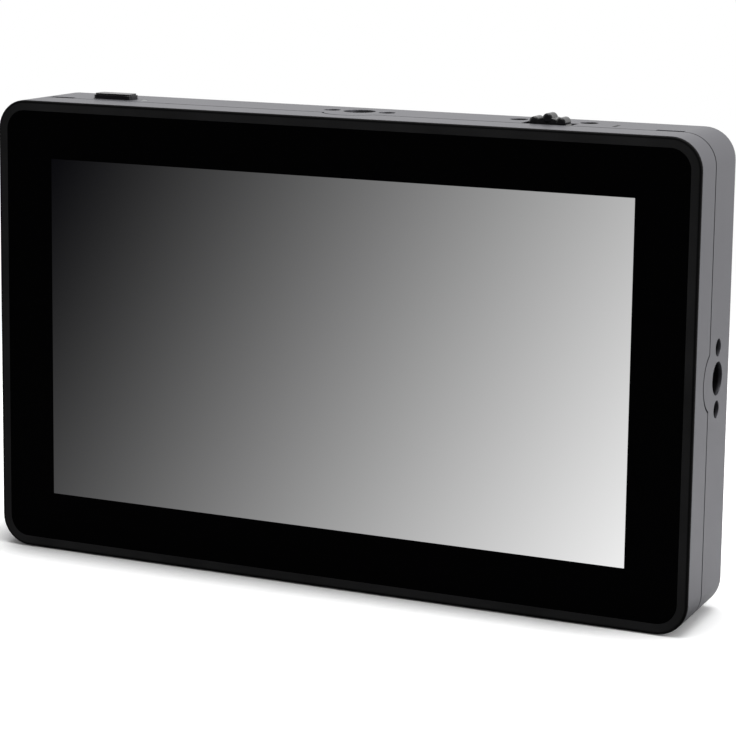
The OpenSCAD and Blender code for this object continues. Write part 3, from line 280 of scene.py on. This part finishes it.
def lit_glass(place):
    x, y, z = place.axes()
    across = (x - (PICTURE_X - PICTURE_W / 2)) / PICTURE_W
    fall = ((PICTURE_Z + PICTURE_H / 2) - z) / PICTURE_H
    inside = ((abs(across - 0.5) < 0.5) * (abs(fall - 0.5) < 0.5)
              * (y < face.y + PICTURE_SKIN))
    level = (RAMP_START + RAMP_ACROSS * across + RAMP_DOWN * fall).power(GAMMA)
    cells = place.noise(0.45 * MM, 0.0)
    picture = level.blend((0.0, 0.0, 0.0008), (1.0, 1.0, 1.0))
    smear = place.noise(12 * MM, 4.0, 0.6)
    return {"Base Color": inside.blend((0.0003, 0.0003, 0.0004), (0.0010, 0.0010, 0.0012)),
            "Emission Color": inside.blend((0.0, 0.0, 0.0), picture),
            "Roughness": 0.035 + 0.03 * smear.smooth(0.45, 0.8),
            "Normal": place.bump(cells * inside, 0.001 * MM, 0.05)}


glass_front = finish("cover_glass", {"Emission Strength": 1.0, "Specular IOR Level": 0.25},
                     lit_glass)
wear(glass_front, "cover_glass")

# %% [markdown]
# ## Black plastics
# The bezel is matt, the keys have a half gloss, the battery plate has the fine leathery texture
# that a spark-eroded mould leaves. One function makes them all. They differ in their colours, in
# the size and depth of the texture, in how rough the surface reads and how strongly it shines.

# %% Moulded plastics
def moulded(name, dark, light, grain, depth, rough, shine=0.3, gloss_change=0.08, shade=None):
    def pattern(place):
        fine = place.noise(grain, 2.0, 0.6)
        slow = place.noise(grain * 60, 2.0)
        soft_edge = place.node("ShaderNodeBevel", {"Radius": 0.12 * MM}, samples=4)
        skin = place.bump(fine, depth, 0.6)
        place.tree.links.new(soft_edge.socket, skin.socket.node.inputs["Normal"])
        tone = 0.5 * fine + 0.5 * slow
        if shade:
            tone = tone * shade(place)
        return {"Base Color": tone.blend(dark, light),
                "Roughness": rough + gloss_change * slow,
                "Normal": skin}
    return finish(name, {"Specular IOR Level": shine}, pattern)


def bezel_painted_shade(place):
    """Painted shade: 1 on the front, fading to 0 round the edge, which turns away from the light.
    """
    depth = place.axes()[1] - face.y
    turned_away = from_outline(place).smooth(-2.2 * SKIN, -1.2 * SKIN)
    return (1.0 - depth.smooth(0.0, SKIN)) * (1.0 - 0.8 * turned_away)


bezel_black = moulded("matt_bezel", (0.0005, 0.0005, 0.0006), (0.0195, 0.0195, 0.0202),
                      grain=0.2 * MM, depth=0.006 * MM, rough=0.55, shine=0.1, shade=bezel_painted_shade)
key_black = moulded("half_gloss_key", (0.003, 0.003, 0.004), (0.007, 0.007, 0.008),
                    grain=0.3 * MM, depth=0.004 * MM, rough=0.22, shine=0.5)
soft_key = moulded("matt_key", (0.005, 0.005, 0.005), (0.009, 0.009, 0.010),
                   grain=0.3 * MM, depth=0.01 * MM, rough=0.7, shine=0.0)
plate_black = moulded("spark_texture", (0.010, 0.010, 0.011), (0.020, 0.020, 0.021),
                      grain=0.35 * MM, depth=0.03 * MM, rough=0.55)
catch_grey = moulded("catch_grey", (0.070, 0.070, 0.074), (0.095, 0.095, 0.100),
                     grain=0.3 * MM, depth=0.02 * MM, rough=0.5)
inner_black = moulded("socket_black", (0.010, 0.010, 0.011), (0.018, 0.018, 0.018),
                      grain=0.3 * MM, depth=0.01 * MM, rough=0.42)
inner_grey = moulded("plunger_grey", (0.060, 0.060, 0.064), (0.085, 0.085, 0.090),
                     grain=0.3 * MM, depth=0.01 * MM, rough=0.45)
ivory = moulded("ivory_plastic", (0.62, 0.59, 0.50), (0.72, 0.69, 0.60),
                grain=0.4 * MM, depth=0.01 * MM, rough=0.4)
clear_guide = moulded("frosted_guide", (0.30, 0.33, 0.31), (0.42, 0.45, 0.43),
                      grain=0.3 * MM, depth=0.01 * MM, rough=0.3)
wear(bezel_black, "bezel", "glass_tape")
wear(key_black, "power_button")
wear(soft_key, "function_button_left", "function_button_right")
wear(plate_black, "battery_plate", "contact_block")
wear(catch_grey, "release_button")
wear(inner_black, "headphone_socket", "dc_inlet", "board_link", "key_switches", "jog_base",
     "jog_switch", "processor")
wear(inner_grey, "power_plunger", "function_plunger_left", "function_plunger_right",
     "jog_plunger", "jog_carrier")
wear(ivory, "flex_connector", "status_led")
wear(clear_guide, "status_light")

# %% [markdown]
# ## Small metal parts
# Turned and rolled metal shows fine lines along the way it was worked. A noise texture that is
# squeezed along one axis gives such lines. Screws, threads, sockets and springs share it, with
# their own colour and their own direction.

# %% Worked metals
def worked(name, colour, lines, rough):
    def pattern(place):
        line = place.stretch(lines).noise(1 * MM, 3.0, 0.65)
        spots = place.noise(3 * MM, 2.0)
        lighter = tuple(min(1.0, c * 1.18) for c in colour)
        return {"Base Color": (0.6 * line + 0.4 * spots).blend(colour, lighter),
                "Roughness": rough + 0.16 * (line - 0.5) + 0.06 * spots,
                "Normal": place.bump(line, 0.004 * MM, 0.5)}
    return finish(name, {"Metallic": 1.0}, pattern)


nickel = worked("bright_nickel", (0.58, 0.57, 0.54), (1, 14, 14), 0.24)
black_screw = worked("black_oxide", (0.045, 0.045, 0.050), (9, 1, 9), 0.38)
zinc = worked("zinc_screw", (0.50, 0.51, 0.53), (9, 1, 9), 0.32)
thread_steel = worked("thread_steel", (0.035, 0.035, 0.038), (2, 9, 2), 0.42)
gold = worked("gold_contact", (0.72, 0.50, 0.20), (12, 12, 1), 0.26)
rolled = worked("rolled_aluminium", (0.55, 0.56, 0.58), (1, 1, 12), 0.36)
spring_wire = worked("spring_wire", (0.52, 0.52, 0.54), (8, 8, 8), 0.3)
wear(nickel, "video_sockets", "data_socket", "jog_axle")
wear(black_screw, "housing_screws", "plate_screws")
wear(zinc, "chassis_screws", "board_screws", "control_screws", "mount_screws")
wear(thread_steel, "top_mount", "side_mount", "bottom_mount")
wear(gold, "battery_contacts")
wear(rolled, "chassis_plate", "heat_sink")
wear(spring_wire, "release_spring")

# %% [markdown]
# ## Boards and soft inner pieces
# A circuit board is green lacquer over copper tracks, and the tracks stand a little proud and
# lighter. The tracks could be drawn one by one, but most of them are hidden, so thin bands of a
# Voronoi texture stand for them. The ribbon, the gap pad, the panel and the backlight's tray
# take plainer finishes.

# %% Board, ribbon, pad, panel and tray
TRACK_CELL = 1 / 420  # of a metre


def lacquer(place):
    cell = place.node("ShaderNodeTexVoronoi", {"Vector": place, "Scale": 1 / TRACK_CELL},
                      distance="CHEBYCHEV", feature="F1")
    track = (abs(cell - 0.32) < 0.05) + (abs(cell - 0.55) < 0.03)
    cloud = place.noise(10 * MM, 2.0)
    return {"Base Color": track.blend((0.006, 0.055, 0.022), (0.018, 0.125, 0.045)),
            "Roughness": 0.28 + 0.1 * cloud,
            "Normal": place.bump(track, 0.03 * MM, 0.5)}


def dyed(dark, light, size, rough):
    def pattern(place):
        cloud = place.noise(size, 3.0)
        return {"Base Color": cloud.blend(dark, light), "Roughness": rough + 0.12 * cloud,
                "Normal": place.bump(cloud, 0.01 * MM, 0.4)}
    return pattern


wear(finish("board_lacquer", {}, lacquer), "main_board", "control_board")
for name, dark, light, size, rough, node in (
        ("ribbon_film", (0.30, 0.12, 0.02), (0.42, 0.19, 0.04), 2 * MM, 0.3, "display_flex"),
        ("gap_pad", (0.28, 0.36, 0.50), (0.36, 0.46, 0.60), 0.6 * MM, 0.7, "thermal_pad"),
        ("dark_panel", (0.010, 0.010, 0.013), (0.016, 0.016, 0.020), 4 * MM, 0.08,
         "display_panel"),
        ("white_tray", (0.66, 0.67, 0.68), (0.74, 0.75, 0.76), 3 * MM, 0.4, "backlight")):
    wear(finish(name, {}, dyed(dark, light, size, rough)), node)

# %% [markdown]
# ## Shapes turned on a lathe
# The wheel's core and the screw heads are turned parts: rings of points round an axis, joined
# ring to ring. Blender has a Spin tool, but a ring may also be a hexagon, for the key's socket,
# so this helper takes a function of the angle as well as a plain radius. Every form is closed,
# and its normals are recalculated so that they point outwards.

# %% Lathe helper
SHARP_FROM = math.radians(35)


def object_from(name, form):
    mesh = bpy.data.meshes.new(name)
    form.to_mesh(mesh)
    form.free()
    return bpy.data.objects.new(name, mesh)


def shade_smooth(mesh):
    for polygon in mesh.polygons:
        polygon.use_smooth = True
    mesh.set_sharp_from_angle(angle=SHARP_FROM)


def lathe(name, rings, steps=72):
    """rings: (place along +Y, radius or function of the angle). The first and last are capped."""
    form = bmesh.new()
    loops = []
    for along, radius in rings:
        loop = []
        for k in range(steps):
            angle = 2 * math.pi * k / steps
            r = radius(angle) if callable(radius) else radius
            loop.append(form.verts.new((r * math.cos(angle), along, r * math.sin(angle))))
        loops.append(loop)
    for a, b in zip(loops, loops[1:]):
        for k in range(steps):
            form.faces.new((a[k], a[(k + 1) % steps], b[(k + 1) % steps], b[k]))
    form.faces.new(loops[0])
    form.faces.new(loops[-1])
    bmesh.ops.recalc_face_normals(form, faces=form.faces)
    return object_from(name, form)


def both_ends(half, length):
    """The rings of a piece whose far end mirrors its near end."""
    return half + [(length - along, radius) for along, radius in reversed(half)]


def hexagon(flat_radius):
    third = math.pi / 3
    return lambda angle: flat_radius / math.cos((angle % third) - third / 2)


print("lathe ready")

# %% [markdown]
# ## Two small Geometry Nodes trees
# What repeats is placed by Geometry Nodes: one tree sets copies of a piece along a line, the
# other sets them round an axis. Their sizes are inputs with names, so a change is one number.
# The copies are real at the end, because instances are lost when the model is exported, and the
# result is kept as one plain mesh.

# %% Trees that repeat a piece
def new_tree(name, inputs):
    tree = bpy.data.node_groups.new(name, "GeometryNodeTree")
    for label, kind in inputs:
        tree.interface.new_socket(label, in_out="INPUT", socket_type=kind)
    tree.interface.new_socket("Geometry", in_out="OUTPUT", socket_type="NodeSocketGeometry")
    return tree, tree.nodes.new("NodeGroupInput"), tree.nodes.new("NodeGroupOutput")


def finish_tree(tree, given, result, copies):
    real = tree.nodes.new("GeometryNodeRealizeInstances")
    paint = tree.nodes.new("GeometryNodeSetMaterial")
    tree.links.new(copies.outputs[0], real.inputs[0])
    tree.links.new(real.outputs[0], paint.inputs["Geometry"])
    tree.links.new(given.outputs["Material"], paint.inputs["Material"])
    tree.links.new(paint.outputs[0], result.inputs[0])
    return tree


def copies_on_line(tree, given, start):
    """Copies of the piece on a line's points; `start` names the input that holds the first."""
    line = tree.nodes.new("GeometryNodeMeshLine")
    piece = tree.nodes.new("GeometryNodeObjectInfo")
    copies = tree.nodes.new("GeometryNodeInstanceOnPoints")
    tree.links.new(given.outputs["Count"], line.inputs["Count"])
    tree.links.new(given.outputs[start], line.inputs["Start Location"])
    tree.links.new(given.outputs["Piece"], piece.inputs["Object"])
    tree.links.new(line.outputs["Mesh"], copies.inputs["Points"])
    tree.links.new(piece.outputs["Geometry"], copies.inputs["Instance"])
    return line, copies


def tree_for_rows():
    tree, given, result = new_tree("repeat_in_a_row", (
        ("Piece", "NodeSocketObject"), ("Count", "NodeSocketInt"), ("Start", "NodeSocketVector"),
        ("Step", "NodeSocketVector"), ("Material", "NodeSocketMaterial")))
    line, copies = copies_on_line(tree, given, "Start")
    tree.links.new(given.outputs["Step"], line.inputs["Offset"])
    return finish_tree(tree, given, result, copies)


def tree_for_rings():
    tree, given, result = new_tree("repeat_round_an_axis", (
        ("Piece", "NodeSocketObject"), ("Count", "NodeSocketInt"), ("Centre", "NodeSocketVector"),
        ("Material", "NodeSocketMaterial")))
    line, copies = copies_on_line(tree, given, "Centre")
    line.inputs["Offset"].default_value = (0, 0, 0)
    index = tree.nodes.new("GeometryNodeInputIndex")
    share = tree.nodes.new("ShaderNodeMath")
    share.operation = "DIVIDE"
    angle = tree.nodes.new("ShaderNodeMath")
    angle.operation = "MULTIPLY"
    angle.inputs[1].default_value = 2 * math.pi
    spin = tree.nodes.new("ShaderNodeCombineXYZ")
    tree.links.new(index.outputs[0], share.inputs[0])
    tree.links.new(given.outputs["Count"], share.inputs[1])
    tree.links.new(share.outputs[0], angle.inputs[0])
    tree.links.new(angle.outputs[0], spin.inputs["Y"])
    tree.links.new(spin.outputs[0], copies.inputs["Rotation"])
    return finish_tree(tree, given, result, copies)


row_tree, ring_tree = tree_for_rows(), tree_for_rings()


def grown(name, tree, piece, **values):
    """Runs a tree once and returns its result as a plain mesh object."""
    if piece.name not in scene.collection.objects:
        scene.collection.objects.link(piece)
    holder = bpy.data.objects.new(name, bpy.data.meshes.new(name))
    scene.collection.objects.link(holder)
    modifier = holder.modifiers.new("grow", "NODES")
    modifier.node_group = tree
    for item in tree.interface.items_tree:
        if item.in_out == "INPUT":
            modifier[item.identifier] = piece if item.name == "Piece" else values[item.name]
    seen = holder.evaluated_get(bpy.context.evaluated_depsgraph_get())
    mesh = bpy.data.meshes.new_from_object(seen)
    holder.modifiers.clear()
    holder.data = mesh
    bpy.data.objects.remove(piece)
    shade_smooth(mesh)
    print(name, len(mesh.polygons), "faces")
    return holder


print("trees:", row_tree.name, ring_tree.name)

# %% [markdown]
# ## The jog wheel
# On the real monitor a small moulded wheel stands out of the top face, and a thumb rolls it. Its
# rim is a ring of rounded teeth. The ring tree repeats one tooth round the axle, the core comes
# from the lathe, and both ends of every tooth are chamfered so that the rim looks moulded.

# %% Build the wheel
wheel_low, wheel_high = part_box("jog_wheel")
axle_low, axle_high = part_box("jog_axle")
axis = Vector(((axle_low.x + axle_high.x) / 2, 0, (axle_low.z + axle_high.z) / 2))
rim = wheel_high.z - axis.z
TEETH, TOOTH_R, TOOTH_OUT = 12, 1.0 * MM, 0.7 * MM
CHAMFER, ROUND, DISH = 0.12 * MM, 0.3 * MM, 0.5 * MM
near, thick = wheel_low.y, wheel_high.y - wheel_low.y
core_r = rim - TOOTH_OUT

wheel_black = moulded("thumb_wheel", (0.003, 0.003, 0.004), (0.007, 0.007, 0.008),
                      grain=0.25 * MM, depth=0.01 * MM, rough=0.24, shine=0.6)
tooth = lathe("tooth", both_ends(
    [(0.0, TOOTH_R * 0.55), (CHAMFER, TOOTH_R * 0.8), (ROUND, TOOTH_R)], thick), 20)
tooth.data.transform(Matrix.Translation((rim - TOOTH_R, 0, 0)))
teeth = grown("wheel_teeth", ring_tree, tooth, Count=TEETH,
              Centre=Vector((axis.x, near, axis.z)), Material=wheel_black)

# From the middle out: the hub's inner edge, the hub, the dish round it, the chamfered rim.
core = lathe("wheel_core", both_ends([
    (0.06 * MM, 1.05 * MM), (0.0, 1.15 * MM), (0.0, 1.7 * MM), (DISH, 1.8 * MM),
    (DISH, 3.7 * MM), (CHAMFER, 3.85 * MM), (CHAMFER, core_r - 0.2 * MM), (ROUND, core_r)],
    thick))
core.data.transform(Matrix.Translation((axis.x, near, axis.z)))
core.data.materials.append(wheel_black)
shade_smooth(core.data)
scene.collection.objects.link(core)


def ride_on(body, pieces, replaced=()):
    """Hands finished pieces to the frame: their body, what they stand for."""
    for piece in pieces:
        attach(piece, body)
    if replaced:
        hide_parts(*replaced)


ride_on("jog", [core, teeth], ["jog_wheel"])

# %% [markdown]
# ## Screw heads
# Four black screws hold the housing and four hold the battery plate, sunk into round holes in
# the back. Each has a domed head with a hexagon socket. One head comes from the lathe, with
# rings that change from round to six-sided, and the row tree repeats it: two heads side by side,
# one row above the other.

# %% Heads for the housing and the battery plate
HEAD_R = 2.25 * MM


def screw_head(name, height):
    socket = hexagon(HEAD_R * 0.5)
    return lathe(name, [(0.0, HEAD_R * 0.98), (height * 0.45, HEAD_R), (height * 0.8, HEAD_R * 0.9),
                        (height, HEAD_R * 0.66), (height, HEAD_R * 0.62), (height * 0.96, socket),
                        (height * 0.45, socket), (height * 0.40, HEAD_R * 0.3)], 48)


def heads_for(node, height):
    low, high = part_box(node)
    left, right = low.x + HEAD_R, high.x - HEAD_R
    return [grown(f"{node}_row_{k + 1}", row_tree, screw_head(f"{node}_head", height), Count=2,
                  Start=Vector((left, high.y - height, z)),
                  Step=Vector((right - left, 0, 0)), Material=black_screw)
            for k, z in enumerate((low.z + HEAD_R, high.z - HEAD_R))]


for node, height in (("housing_screws", 1.6 * MM), ("plate_screws", 0.85 * MM)):
    ride_on("housing", heads_for(node, height), [node])

# %% [markdown]
# ## Contacts in the sockets
# A full-size video socket has ten contacts on one side of its tongue and nine on the other, the
# small data socket twelve on each side. They are flat gilded springs, far too alike to make by
# hand, so one bevelled strip is repeated along each tongue.

# %% Gilded contacts
def strip(name, length, width, thick):
    form = bmesh.new()
    bmesh.ops.create_cube(form, size=1.0)
    bmesh.ops.scale(form, vec=(length, thick, width), verts=form.verts)
    bmesh.ops.bevel(form, geom=form.edges[:], offset=min(thick, width) * 0.25, segments=1,
                    affect="EDGES")
    return object_from(name, form)


def contact_row(name, sizes, count, pitch, middle):
    first = middle - Vector((0, 0, (count - 1) * pitch / 2))
    return grown(name, row_tree, strip("contact", *sizes), Count=count, Start=first,
                 Step=Vector((0, 0, pitch)), Material=gold)


contacts = []
low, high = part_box("video_sockets")
PORT_HALF, PORT_TONGUE = 7.5 * MM, 0.3 * MM
tongue_y = (low.y + high.y) / 2 + PORT_TONGUE
for port, port_z in (("upper", high.z - PORT_HALF), ("lower", low.z + PORT_HALF)):
    for side, count, off in (("back", 10, 0.56 * MM), ("front", 9, -0.56 * MM)):
        contacts.append(contact_row(
            f"video_contacts_{port}_{side}", (6.0 * MM, 0.45 * MM, 0.12 * MM), count, 1.0 * MM,
            Vector((low.x + 5.0 * MM, tongue_y + off, port_z))))
low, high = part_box("data_socket")
DATA_H = 3.26 * MM
tongue_y = high.y - DATA_H / 2
for side, off in (("back", 0.38 * MM), ("front", -0.38 * MM)):
    contacts.append(contact_row(
        f"data_contacts_{side}", (4.0 * MM, 0.26 * MM, 0.06 * MM), 12, 0.5 * MM,
        Vector((low.x + 3.2 * MM, tongue_y + off, (low.z + high.z) / 2))))
ride_on("housing", contacts)

# %% [markdown]
# ## Grip ribs and a printed line
# A fingertip pushes the battery catch, so its face has four fine ribs. They are strips in a row
# again. A thin plain line is printed beside the wheel: one flat strip, a hair above the metal.

# %% Ribs on the catch, line on the top face
RIB_MARGIN, RIB_FIRST, RIB_STEP = 2.1 * MM, 1.7 * MM, 1.0 * MM
low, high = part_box("release_button")
rib = strip("rib", high.x - low.x - 2 * RIB_MARGIN, 0.45 * MM, 0.4 * MM)
ribs = grown("catch_ribs", row_tree, rib, Count=4,
             Start=Vector(((low.x + high.x) / 2, high.y, low.z + RIB_FIRST)),
             Step=Vector((0, 0, RIB_STEP)), Material=catch_grey)
ride_on("release", [ribs])

dark_print = finish("printed_line", {}, dyed((0.014, 0.014, 0.015), (0.026, 0.026, 0.027),
                                             0.8 * MM, 0.7))
LINE_X, LINE_DEPTH, PRINT_LIFT = 52.75 * MM, 12.8 * MM, 0.005 * MM
mark = strip("printed_line", 0.7 * MM, 0.02 * MM, 3.2 * MM)
mark.data.transform(Matrix.Translation((LINE_X, face.y + LINE_DEPTH, shell_high.z + PRINT_LIFT)))
mark.data.materials.append(dark_print)
scene.collection.objects.link(mark)
ride_on("housing", [mark])
print("line stands", round(shell_high.z * 1000, 2), "mm up")

# %% [markdown]
# ## Floor and light
# The photograph has a white ground with a soft shadow close under the monitor. A large light
# above gives the top face its brighter tone, a weaker one from the right lights the side, and an
# even sky fills the rest. Rays that come straight from the camera meet white, and so do mirror
# rays that go up or back. Mirror rays that go to the front meet a dark sky and a dark floor, as
# if a black cloth hung there, so the glass and the black plastics stay black. The light on the
# object stays at a plain level. The floor fades from a surface that takes the shadow to pure
# white further out, so no horizon shows. Its shadow is soft but very short, so it is a painted
# shadow: the floor's colour is white to start with, and an Ambient Occlusion node, which looks
# only twelve millimetres far, darkens that colour along the monitor's lower edge. On the right
# the floor's colour is painted lighter, as painted light, so the shadow thins out there.

# %% Stage and light
SHADOW_REACH = 12 * MM
WHITE_FROM, WHITE_AT = 160 * MM, 340 * MM
# How open the floor is to the sky, and its tone there: beside the monitor and out in the open.
SHADED, OPEN = (0.5, 0.50), (1.0, 1.35)
LIT_FROM, LIT_AT, LIT_TONE = 45 * MM, 80 * MM, 1.3
DARK_TO, PALE_FROM = -20 * MM, 20 * MM


def rays(tree):
    """1 for rays from the camera, 1 for mirror rays, 1 for both and for rays through glass."""
    path = tree.nodes.new("ShaderNodeLightPath")
    camera_ray, mirror_ray, clear_ray = (
        Wire(tree, path.outputs[f"Is {kind} Ray"]) for kind in ("Camera", "Glossy", "Transmission"))
    return camera_ray, mirror_ray, (camera_ray + mirror_ray + clear_ray).smaller(1.0)


def floor_material():
    material = bpy.data.materials.new("pale_floor")
    material.use_nodes = True
    tree = material.node_tree
    tree.nodes.clear()
    place = Wire(tree, tree.nodes.new("ShaderNodeTexCoord").outputs["Object"])
    camera_ray, mirror_ray, seen = rays(tree)
    x, y, _ = place.axes()
    far = (x * x + y * y).root().smooth(WHITE_FROM, WHITE_AT)
    speck = place.noise(4 * MM, 2.0)
    # painted shadow: the floor's colour darkens with the Ambient Occlusion node's result
    near = place.node("ShaderNodeAmbientOcclusion", {"Distance": SHADOW_REACH}, out=1, samples=16)
    painted_shadow = near.node("ShaderNodeMapRange", {"Value": near, 1: SHADED[0], 2: OPEN[0],
                                              3: SHADED[1], 4: OPEN[1]})
    # painted light: the floor's colour turns lighter towards the right
    painted_light_side = 0.85 * x.smooth(LIT_FROM, LIT_AT)
    tone = painted_light_side.node("ShaderNodeMix", {0: painted_light_side, 2: painted_shadow, 3: LIT_TONE},
                         data_type="FLOAT")
    mirrored = y.smooth(DARK_TO, PALE_FROM).blend((0.02, 0.02, 0.02), (0.9, 0.9, 0.9))
    colour = seen.blend((0.62, 0.62, 0.62), camera_ray.blend(mirrored, tone))
    surface = place.node("ShaderNodeBsdfDiffuse", {"Color": colour,
                                                   "Normal": place.bump(speck, 0.02 * MM, 0.2)})
    white = place.node("ShaderNodeEmission", {"Color": mirror_ray.blend((1.0, 1.0, 1.0), mirrored),
                                              "Strength": 1.0})
    mixed = place.node("ShaderNodeMixShader", {0: far * seen, 1: surface, 2: white})
    output = tree.nodes.new("ShaderNodeOutputMaterial")
    tree.links.new(mixed.socket, output.inputs["Surface"])
    return material


form = bmesh.new()
bmesh.ops.create_grid(form, x_segments=1, y_segments=1, size=8.0)
floor = object_from("floor", form)
floor.location.z = -0.2 * MM
floor.data.materials.append(floor_material())
scene.collection.objects.link(floor)

world = bpy.data.worlds.new("even_sky")
world.use_nodes = True
scene.world = world
sky = world.node_tree
sky.nodes.clear()
SKY_LIGHT, FRONT_DARK = 0.62, 0.97
camera_ray, mirror_ray, seen = rays(sky)
depth = Wire(sky, sky.nodes.new("ShaderNodeTexCoord").outputs["Generated"]).axes()[1]
to_front = 1.0 - depth.smooth(-0.55, 0.0)
level = SKY_LIGHT + (1.0 - SKY_LIGHT) * seen - FRONT_DARK * mirror_ray * to_front
background = camera_ray.node("ShaderNodeBackground", {"Color": (1, 1, 1, 1), "Strength": level})
sky.links.new(background.socket, sky.nodes.new("ShaderNodeOutputWorld").inputs["Surface"])


def softbox(name, place, aim, width, power):
    lamp = bpy.data.lights.new(name, "AREA")
    lamp.shape = "DISK"
    lamp.size = width
    lamp.energy = power
    holder = bpy.data.objects.new(name, lamp)
    holder.location = place
    holder.rotation_euler = (Vector(aim) - Vector(place)).to_track_quat("-Z", "Y").to_euler()
    scene.collection.objects.link(holder)
    print(name, power, "W")


middle = (cad_low + cad_high) / 2
softbox("top_box", (0.05, -0.05, 0.75), middle, width=0.7, power=4.0)
softbox("right_box", (0.75, -0.15, 0.35), middle, width=0.4, power=1.4)
scene.view_settings.view_transform = "Standard"
